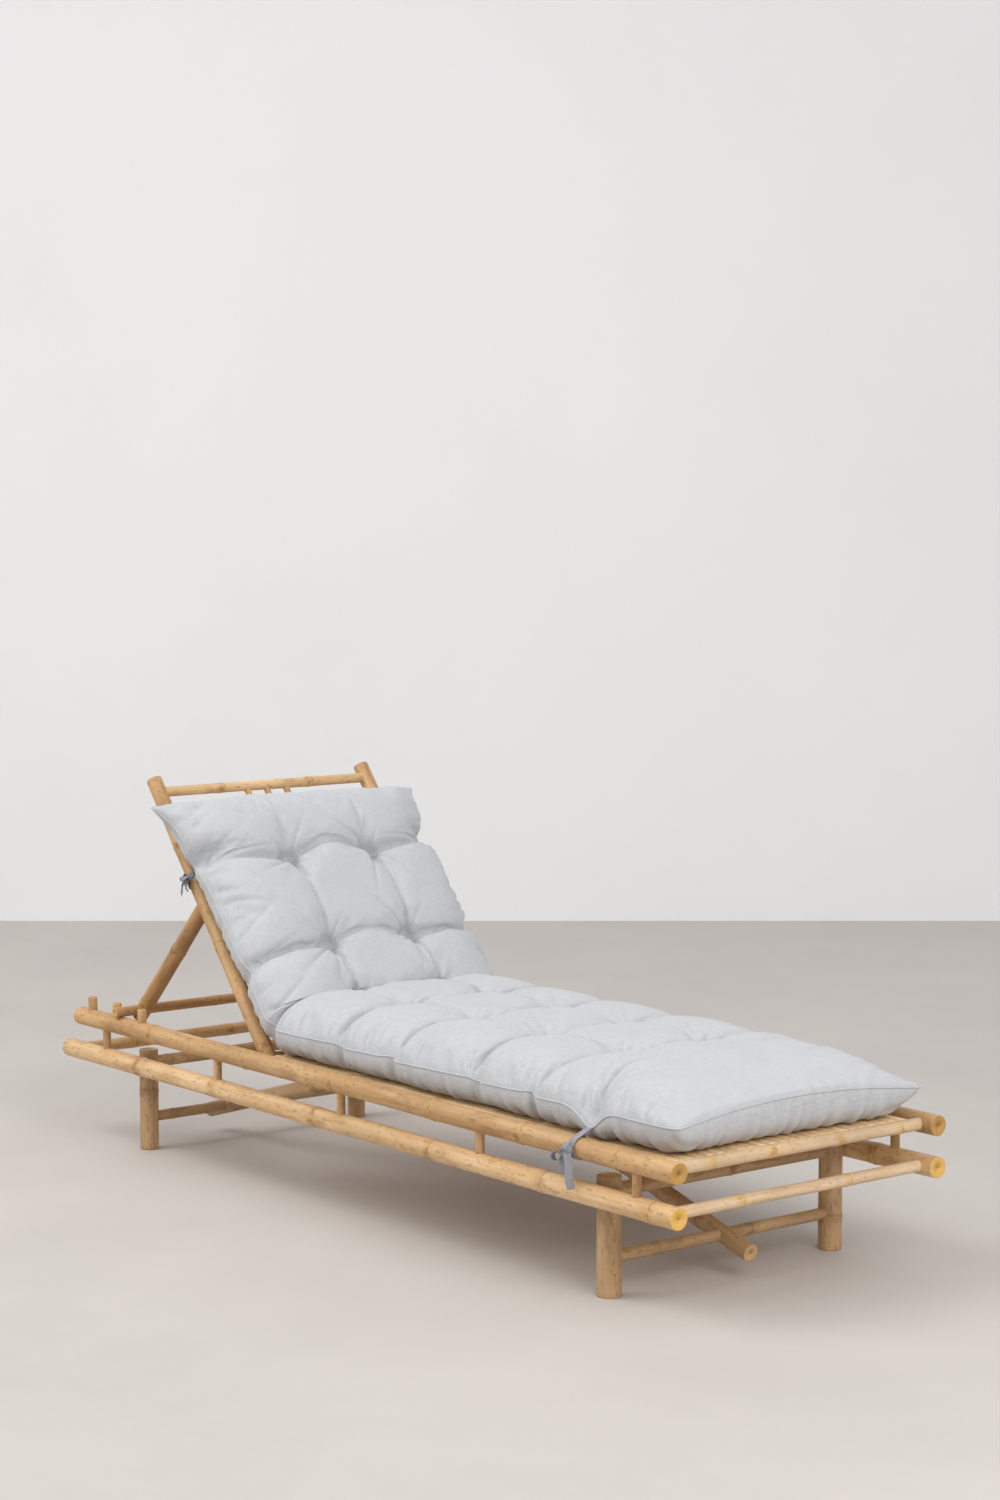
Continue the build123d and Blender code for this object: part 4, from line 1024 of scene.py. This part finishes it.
def low_gathers(t, y, chance):
    """Depths of the gathers of the lower panel under the seam."""
    rim = np.clip(np.minimum(np.minimum(t, pad_length - t), PAD_HALF_WIDTH - np.abs(y)) / LOW_RIM, 0, 1)
    run = np.where(np.abs(y) > PAD_BASE_HALF_WIDTH - LOW_SIDE_LAP, t, y)
    wave = np.zeros(t.size)
    for _ in range(LOW_WAVES):
        pitch = chance.uniform(*LOW_WAVE_PITCH)
        phase, weight = chance.uniform(0, LOW_WAVE_PHASE), chance.uniform(*LOW_WAVE_WEIGHT)
        uneven = LOW_WAVE_UNEVEN * np.sin(run * LOW_WAVE_TURN + phase)
        wave += weight * np.sin(run / pitch * 2 * pi + phase + uneven)
    return LOW_WAVE_DEPTH * wave * np.sin(pi * rim)


def cloth_of(mesh):
    """The places of a mesh's points on the flat cloth, with 1 on the upper panel and -1 on the lower one."""
    cloth = np.zeros(len(mesh.vertices) * 3, np.float32)
    mesh.attributes["cloth"].data.foreach_get("vector", cloth)
    return cloth.reshape(-1, 3)


t, y, panel = cloth_of(mesh).T.astype(float)
chance = random.Random(CREASE_SEED)
depth = row_creases(t, y, chance) + edge_creases(t, y, chance)
depth = CREASE_LIMIT * np.tanh(depth / CREASE_LIMIT) * np.clip(panel, 0, 1)
depth += low_gathers(t, y, chance) * np.clip(-panel, 0, 1)
normals = np.zeros(t.size * 3, np.float32)
mesh.vertices.foreach_get("normal", normals)
places = points_of(mesh) - normals.reshape(-1, 3) * depth[:, None]
mesh.vertices.foreach_set("co", places.astype(np.float32).ravel())
mesh.update()
mesh.shade_smooth()


def seam_tree():
    """A thin rolled edge along a closed run of points, where the two panels are sewn."""
    tree, given = new_tree("sewn_edge", {"Radius": "Float", "Cloth": "Material"})
    line = step(tree, "GeometryNodeMeshToCurve", given["Geometry"])
    ring = step(tree, "GeometryNodeCurvePrimitiveCircle", SEAM_SIDES)
    ring.socket.node.inputs["Radius"].default_value = 1.0
    edge = step(tree, "GeometryNodeCurveToMesh", line, ring, given["Radius"])
    return close_tree(noted(edge, "cloth", step(tree, "GeometryNodeInputPosition")), given["Cloth"])


def sewn_run(mesh):
    """The points of the sewn edge in their order round the pad."""
    ends = np.zeros(len(mesh.edges) * 2, np.int32)
    mesh.edges.foreach_get("vertices", ends)
    ends = ends.reshape(-1, 2)
    sewn = np.abs(cloth_of(mesh)[:, 2]) < SEAM_MARK
    ends = ends[sewn[ends].all(axis=1)]
    order = {int(n): i for i, n in enumerate(np.unique(ends))}
    points = [tuple(mesh.vertices[n].co) for n in order]
    return points, [(order[int(a)], order[int(b)]) for a, b in ends]


PAD_CLOTH = {"pale": (0.64, 0.65, 0.66), "mid": (0.545, 0.555, 0.572), "deep": (0.40, 0.412, 0.435)}
CLOTH_NOISES = {
    "warp": ((60.0, 900.0, 1.0), 0.6), "weft": ((900.0, 60.0, 1.0), 0.6), "cloud": ((14.0, 14.0, 1.0), 0.5),
}
CLOTH_DETAIL = 3.0
THREAD_STOPS, CLOUD_STOPS = (0.36, 0.64), (0.35, 0.7)
MID_SHARE, CLOUD_SHARE = 0.45, 0.18
CLOTH_SHEEN = {"Roughness": 0.88, "Sheen Weight": 0.2, "Sheen Roughness": 0.5, "Specular IOR Level": 0.2}
CLOTH_RELIEF = (0.25, 0.0005)


def cloth_finish(name, pale, mid, deep):
    """Plain-woven melange cloth: pale and grey-blue threads both ways, matt, with a soft nap."""
    material, tree, inputs = new_finish(name)
    spot = step(tree, "ShaderNodeAttribute", attribute_name="cloth").out("Vector")
    warp, weft, cloud = (
        step(tree, "ShaderNodeTexNoise", spot * scale, None, 1.0, CLOTH_DETAIL, roughness)
        for scale, roughness in CLOTH_NOISES.values()
    )
    thread = (warp + weft) * 0.5
    colour = tinted(tree, banded(thread, *THREAD_STOPS), deep, pale)
    colour = tinted(tree, MID_SHARE, colour, mid)
    colour = tinted(tree, banded(cloud, *CLOUD_STOPS) * CLOUD_SHARE, colour, deep)
    feed_in(inputs["Base Color"], colour)
    for label, value in CLOTH_SHEEN.items():
        inputs[label].default_value = value
    emboss(inputs, thread, *CLOTH_RELIEF)
    return material


pad_cloth = cloth_finish("pad_cloth", **PAD_CLOTH)
mesh.materials.append(pad_cloth)
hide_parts("seat_cushion", "cushion_fold", "back_cushion")
fold_middle = Vector(pad_points(np.array((fold_start + fold_end) / 2), np.array(0.0), np.array(FOLD_HEIGHT)))
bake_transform(cushion)

seam_points, seam_edges = sewn_run(mesh)
seam_values = {"Radius": SEAM_RADIUS, "Cloth": pad_cloth}
seam = grown("cushion_seam", seam_tree(), seam_points, seam_values, seam_edges)
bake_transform(seam)

# Ties: a flat cotton tape sewn into the seam goes round the rail at the foot and round the stile at the back,
# on both sides, and is tied outside in a knot with loose tails, at the foot with a small bow.
BACK_TIE_S = 0.452
FOOT_TIE_Y, FOOT_TIE_Z = 0.319, 0.2695
RAIL_RADIUS = 0.020
FOOT_TAILS, BACK_TAILS = (0.072, 0.050), (0.034, 0.026)
BACK_SLIP = -0.012
SEWN_INSET, SEWN_DROP = 0.005, 0.036
TAPE_WIDTH = 0.015
TAPE_THICKNESS = 0.0012
TAPE_CURL = 0.0006
TAPE_CELL = 0.0022
TAPE_LINES = 7
TAPE_CLOTH = {"pale": (0.37, 0.375, 0.40), "mid": (0.295, 0.30, 0.325), "deep": (0.205, 0.21, 0.23)}
KNOT_TURN, KNOT_LIFT, KNOT_SUNK = 8, 0.007, 0.004
LOOP_TURN = 112
FRONT_LOOP = ((62, 0.0004), (40, 0.0), (18, 0.001))
REAR_LOOP = ((LOOP_TURN, 0.002), (150, 0.0), (200, 0.0), (250, 0.0), (300, 0.0), (340, 0.0))
TALL_WRAP = ((0.008, -0.004), (0.009, 0.003), (0.0, 0.0085), (-0.009, 0.003), (-0.008, -0.004))
LONG_WRAP = ((0.008, -0.003), (0.0085, 0.003), (0.002, 0.0072), (-0.0085, 0.003), (-0.008, -0.003))
TALL_WRAP_WIDTH, LONG_WRAP_WIDTH = 0.014, 0.012
TAIL_RUN = (
    (0.003, 0.0, 0.0, 0.0), (0.006, 0.004, 0.010, 0.0), (0.004, 0.007, 0.0, 0.4), (0.005, 0.009, 0.0, 0.75),
    (0.002, 0.012, 0.0, 1.0),
)
TAIL_TWIST, TAIL_TWIST_SIDE = 0.6, 0.3
BOW_RUN = (
    (0.004, 0.0, 0.0), (0.008, 0.012, 0.004), (0.009, 0.026, 0.011), (0.008, 0.033, 0.020),
    (0.006, 0.028, 0.027), (0.006, 0.015, 0.021), (0.006, 0.006, 0.011), (0.004, 0.0, 0.0),
)
BOW_WIDTH, BOW_TWIST = 0.014, 0.3
DOWN = Vector((0.0, 0.0, -1.0))
tape_cloth = cloth_finish("tape_cloth", **TAPE_CLOTH)


def smooth_run(points):
    """Evenly spaced points on a smooth line through the given ones."""
    points = [np.array(p, float) for p in points]
    ends = [2 * points[0] - points[1], *points, 2 * points[-1] - points[-2]]
    run = []
    for a, b, c, d in zip(ends, ends[1:], ends[2:], ends[3:]):
        steps = max(2, int(np.linalg.norm(c - b) / TAPE_CELL))
        for i in range(steps):
            u = i / steps
            bend = (2 * a - 5 * b + 4 * c - d) * u**2 + (3 * b - a - 3 * c + d) * u**3
            run.append(0.5 * (2 * b + (c - a) * u + bend))
    return np.array([*run, points[-1]])


def tape(points, across, width):
    """Corners, faces and length of a flat, slightly curled tape along points, with its width one way."""
    run = smooth_run(points)
    tangent = np.gradient(run, axis=0)
    tangent /= np.linalg.norm(tangent, axis=1, keepdims=True)
    wide = np.array(across, float) - tangent * (tangent @ np.array(across, float))[:, None]
    wide /= np.linalg.norm(wide, axis=1, keepdims=True)
    face = np.cross(tangent, wide)
    lines = np.linspace(-1, 1, TAPE_LINES)
    section = [(v, 0.5) for v in lines] + [(v, -0.5) for v in lines[::-1]]
    corners = np.stack([
        run + wide * (v * width / 2) + face * (h * TAPE_THICKNESS + TAPE_CURL * v * v) for v, h in section
    ], axis=1)
    rows, sides = corners.shape[:2]
    number = np.arange(rows * sides).reshape(rows, sides)
    around = np.roll(number, -1, axis=1)
    faces = np.stack([number[:-1], around[:-1], around[1:], number[1:]], axis=-1).reshape(-1, 4).tolist()
    faces += [number[0, ::-1].tolist(), number[-1].tolist()]
    length = np.linalg.norm(np.diff(run, axis=0), axis=1).sum()
    return corners.reshape(-1, 3), faces, length


def tie(name, body, centre, axis, out, up, radius, sewn_at, tail_lengths, slip=0.0, bow=False):
    """A tied tape: a loop round a pole from the seam to a knot slipped along the pole, a bow and tails."""
    hold = radius + TAPE_THICKNESS
    flat = (axis - DOWN * axis.dot(DOWN)).normalized()

    def round_pole(degrees, lift):
        """A point of the loop, by its turn about the pole and its lift from it."""
        turn = radians(degrees)
        share = min(abs(degrees - LOOP_TURN), abs(degrees - LOOP_TURN - 360)) / (LOOP_TURN - KNOT_TURN)
        reach = hold + lift
        return centre + axis * (slip * share) + out * (reach * cos(turn)) + up * (reach * sin(turn))

    knot = round_pole(KNOT_TURN, KNOT_LIFT)
    sunk = out * KNOT_SUNK
    runs = [
        ([sewn_at, *[round_pole(*place) for place in FRONT_LOOP], knot], axis, TAPE_WIDTH),
        ([sewn_at - sunk, *[round_pole(*place) for place in REAR_LOOP], knot - sunk], axis, TAPE_WIDTH),
        ([knot + up * a + out * b for a, b in TALL_WRAP], flat, TALL_WRAP_WIDTH),
        ([knot + axis * a + out * b for a, b in LONG_WRAP], up, LONG_WRAP_WIDTH),
    ]
    for sign, length in zip((1, -1), tail_lengths):
        tail = [knot + out * a + flat * (sign * b) + DOWN * (c + d * length) for a, b, c, d in TAIL_RUN]
        runs.append((tail, flat - out * (TAIL_TWIST + TAIL_TWIST_SIDE * sign), TAPE_WIDTH))
    if bow:
        leaf = [knot + out * a - flat * b + DOWN * c for a, b, c in BOW_RUN]
        runs.append((leaf, out + flat * BOW_TWIST, BOW_WIDTH))
    corners, faces, total = [], [], 0.0
    for points, across, width in runs:
        part, part_faces, length = tape(points, across, width)
        first = sum(len(c) for c in corners)
        corners.append(part)
        faces += [[n + first for n in f] for f in part_faces]
        total += length * width / TAPE_WIDTH
    spots = np.concatenate(corners)
    mesh = bpy.data.meshes.new(name)
    mesh.from_pydata(spots.tolist(), [], faces)
    mesh.update()
    mesh.shade_smooth()
    note_cloth(mesh, spots)
    mesh.materials.append(tape_cloth)
    piece = placed(name + "_tape", mesh)
    stand_for(piece, name, body)


for side, sign in SIDES.items():
    out = Vector((0.0, sign, 0.0))
    sewn_y, sewn_h = np.array(sign * (PAD_HALF_WIDTH - SEWN_INSET)), np.array(PAD_SEAM - SEWN_DROP)
    foot_sewn, back_sewn = (Vector(pad_points(np.array(row), sewn_y, sewn_h)) for row in tie_rows)
    foot_centre = Vector((FOOT_TIE_X, sign * FOOT_TIE_Y, FOOT_TIE_Z))
    back_centre = on_back(BACK_TIE_S, sign * STILE_Y)
    rail, stile = culms[f"upper_rail_{side}"].name, culms[f"stile_{side}"].name
    tie(f"foot_tie_{side}", "base", foot_centre, Vector((1, 0, 0)), out, Vector((0, 0, 1)), RAIL_RADIUS,
        foot_sewn, FOOT_TAILS, bow=True)
    tie(f"back_tie_{side}", "backrest", back_centre, BACK_UP, out, BACK_FRONT, STILE_RADIUS,
        back_sewn, BACK_TAILS, slip=BACK_SLIP)

# Studio: a pale floor and wall, two broad soft lamps overhead, one to the left and one beyond the foot, and a
# camera at standing height that looks along the lounger from the foot end.
CAMERA_PLACE = Vector((4.8244, -3.7099, 1.4377))
CAMERA_LOOK = Vector((-0.78189, 0.61743, -0.08618))
CAMERA_LENS, CAMERA_SENSOR, CAMERA_REACH = 72.48, 36.0, 200.0
FLOOR_REACH = 30
WALL_DISTANCE, WALL_REACH, WALL_HEIGHT = 10.0, 12, 9
FLOOR_TINT, FLOOR_CLOUD = (0.60, 0.56, 0.525), 0.10
WALL_TINT, WALL_CLOUD = (0.90, 0.90, 0.905), 0.03
PLASTER_ROUGHNESS = 0.75
PLASTER_NOISE = (1.3, 5.0, 0.6)
PLASTER_STOPS = (0.3, 0.7)
LAMPS = {
    "key_lamp": {"place": Vector((-1.6, -2.8, 3.8)), "look_at": Vector((0.0, 0.0, 0.3)), "watts": 105},
    "foot_lamp": {"place": Vector((4.4, -0.8, 3.2)), "look_at": Vector((0.2, 0.0, 0.3)), "watts": 120},
}
LAMP_WIDTH = 2.8
AIR_TINT, AIR_STRENGTH = (0.985, 0.99, 1.0, 1.0), 0.66


def studio_finish(name, tint, cloud):
    """Plain painted plaster or concrete with faint clouds, seen from its front alone."""
    material, tree, inputs = new_finish(name)
    inputs["Roughness"].default_value = PLASTER_ROUGHNESS
    spot = step(tree, "ShaderNodeTexCoord").out("Object")
    patch = step(tree, "ShaderNodeTexNoise", spot, None, *PLASTER_NOISE)
    feed_in(inputs["Base Color"], tinted(tree, banded(patch, *PLASTER_STOPS), shaded(tint, 1 - cloud), tint))
    behind = step(tree, "ShaderNodeNewGeometry").out("Backfacing")
    front = Flow(tree.nodes["Principled BSDF"].outputs[0])
    mixed = step(tree, "ShaderNodeMixShader", behind, front, step(tree, "ShaderNodeBsdfTransparent"))
    feed_in(tree.nodes["Material Output"].inputs["Surface"], mixed)
    return material


def panel_of(name, corners, finish):
    """A flat sheet of the studio."""
    mesh = bpy.data.meshes.new(name)
    mesh.from_pydata(corners, [], [(0, 1, 2, 3)])
    mesh.materials.append(finish)
    placed(name, mesh)


def aim(holder, place, look):
    """Put a lamp or camera in its place and turn it to look one way."""
    holder.location = place
    holder.rotation_mode = "QUATERNION"
    holder.rotation_quaternion = look.to_track_quat("-Z", "Y")


level = Vector((CAMERA_LOOK.x, CAMERA_LOOK.y, 0.0)).normalized()
across = Vector((level.y, -level.x, 0.0))
foot_of_wall = Vector((CAMERA_PLACE.x, CAMERA_PLACE.y, 0.0)) + level * WALL_DISTANCE
floor = [(x * FLOOR_REACH, y * FLOOR_REACH, 0) for x, y in ((-1, -1), (1, -1), (1, 1), (-1, 1))]
wall = [foot_of_wall + across * (a * WALL_REACH) + Vector((0, 0, h * WALL_HEIGHT))
        for a, h in ((-1, 0), (1, 0), (1, 1), (-1, 1))]
panel_of("floor", floor, studio_finish("floor_finish", FLOOR_TINT, FLOOR_CLOUD))
panel_of("wall", wall, studio_finish("wall_finish", WALL_TINT, WALL_CLOUD))

for name, lamp in LAMPS.items():
    light = bpy.data.lights.new(name, "AREA")
    light.size = LAMP_WIDTH
    light.energy = lamp["watts"]
    aim(placed(name, light), lamp["place"], lamp["look_at"] - lamp["place"])
world = bpy.data.worlds.new("studio_air")
world.use_nodes = True
air = world.node_tree.nodes["Background"].inputs
air["Color"].default_value = AIR_TINT
air["Strength"].default_value = AIR_STRENGTH
bpy.context.scene.world = world

camera = bpy.data.cameras.new("camera")
camera.lens = CAMERA_LENS
camera.sensor_width = CAMERA_SENSOR
camera.clip_end = CAMERA_REACH
eye = placed("camera", camera)
aim(eye, CAMERA_PLACE, CAMERA_LOOK)
bpy.context.scene.camera = eye

bpy.context.scene.view_settings.view_transform = "Standard"
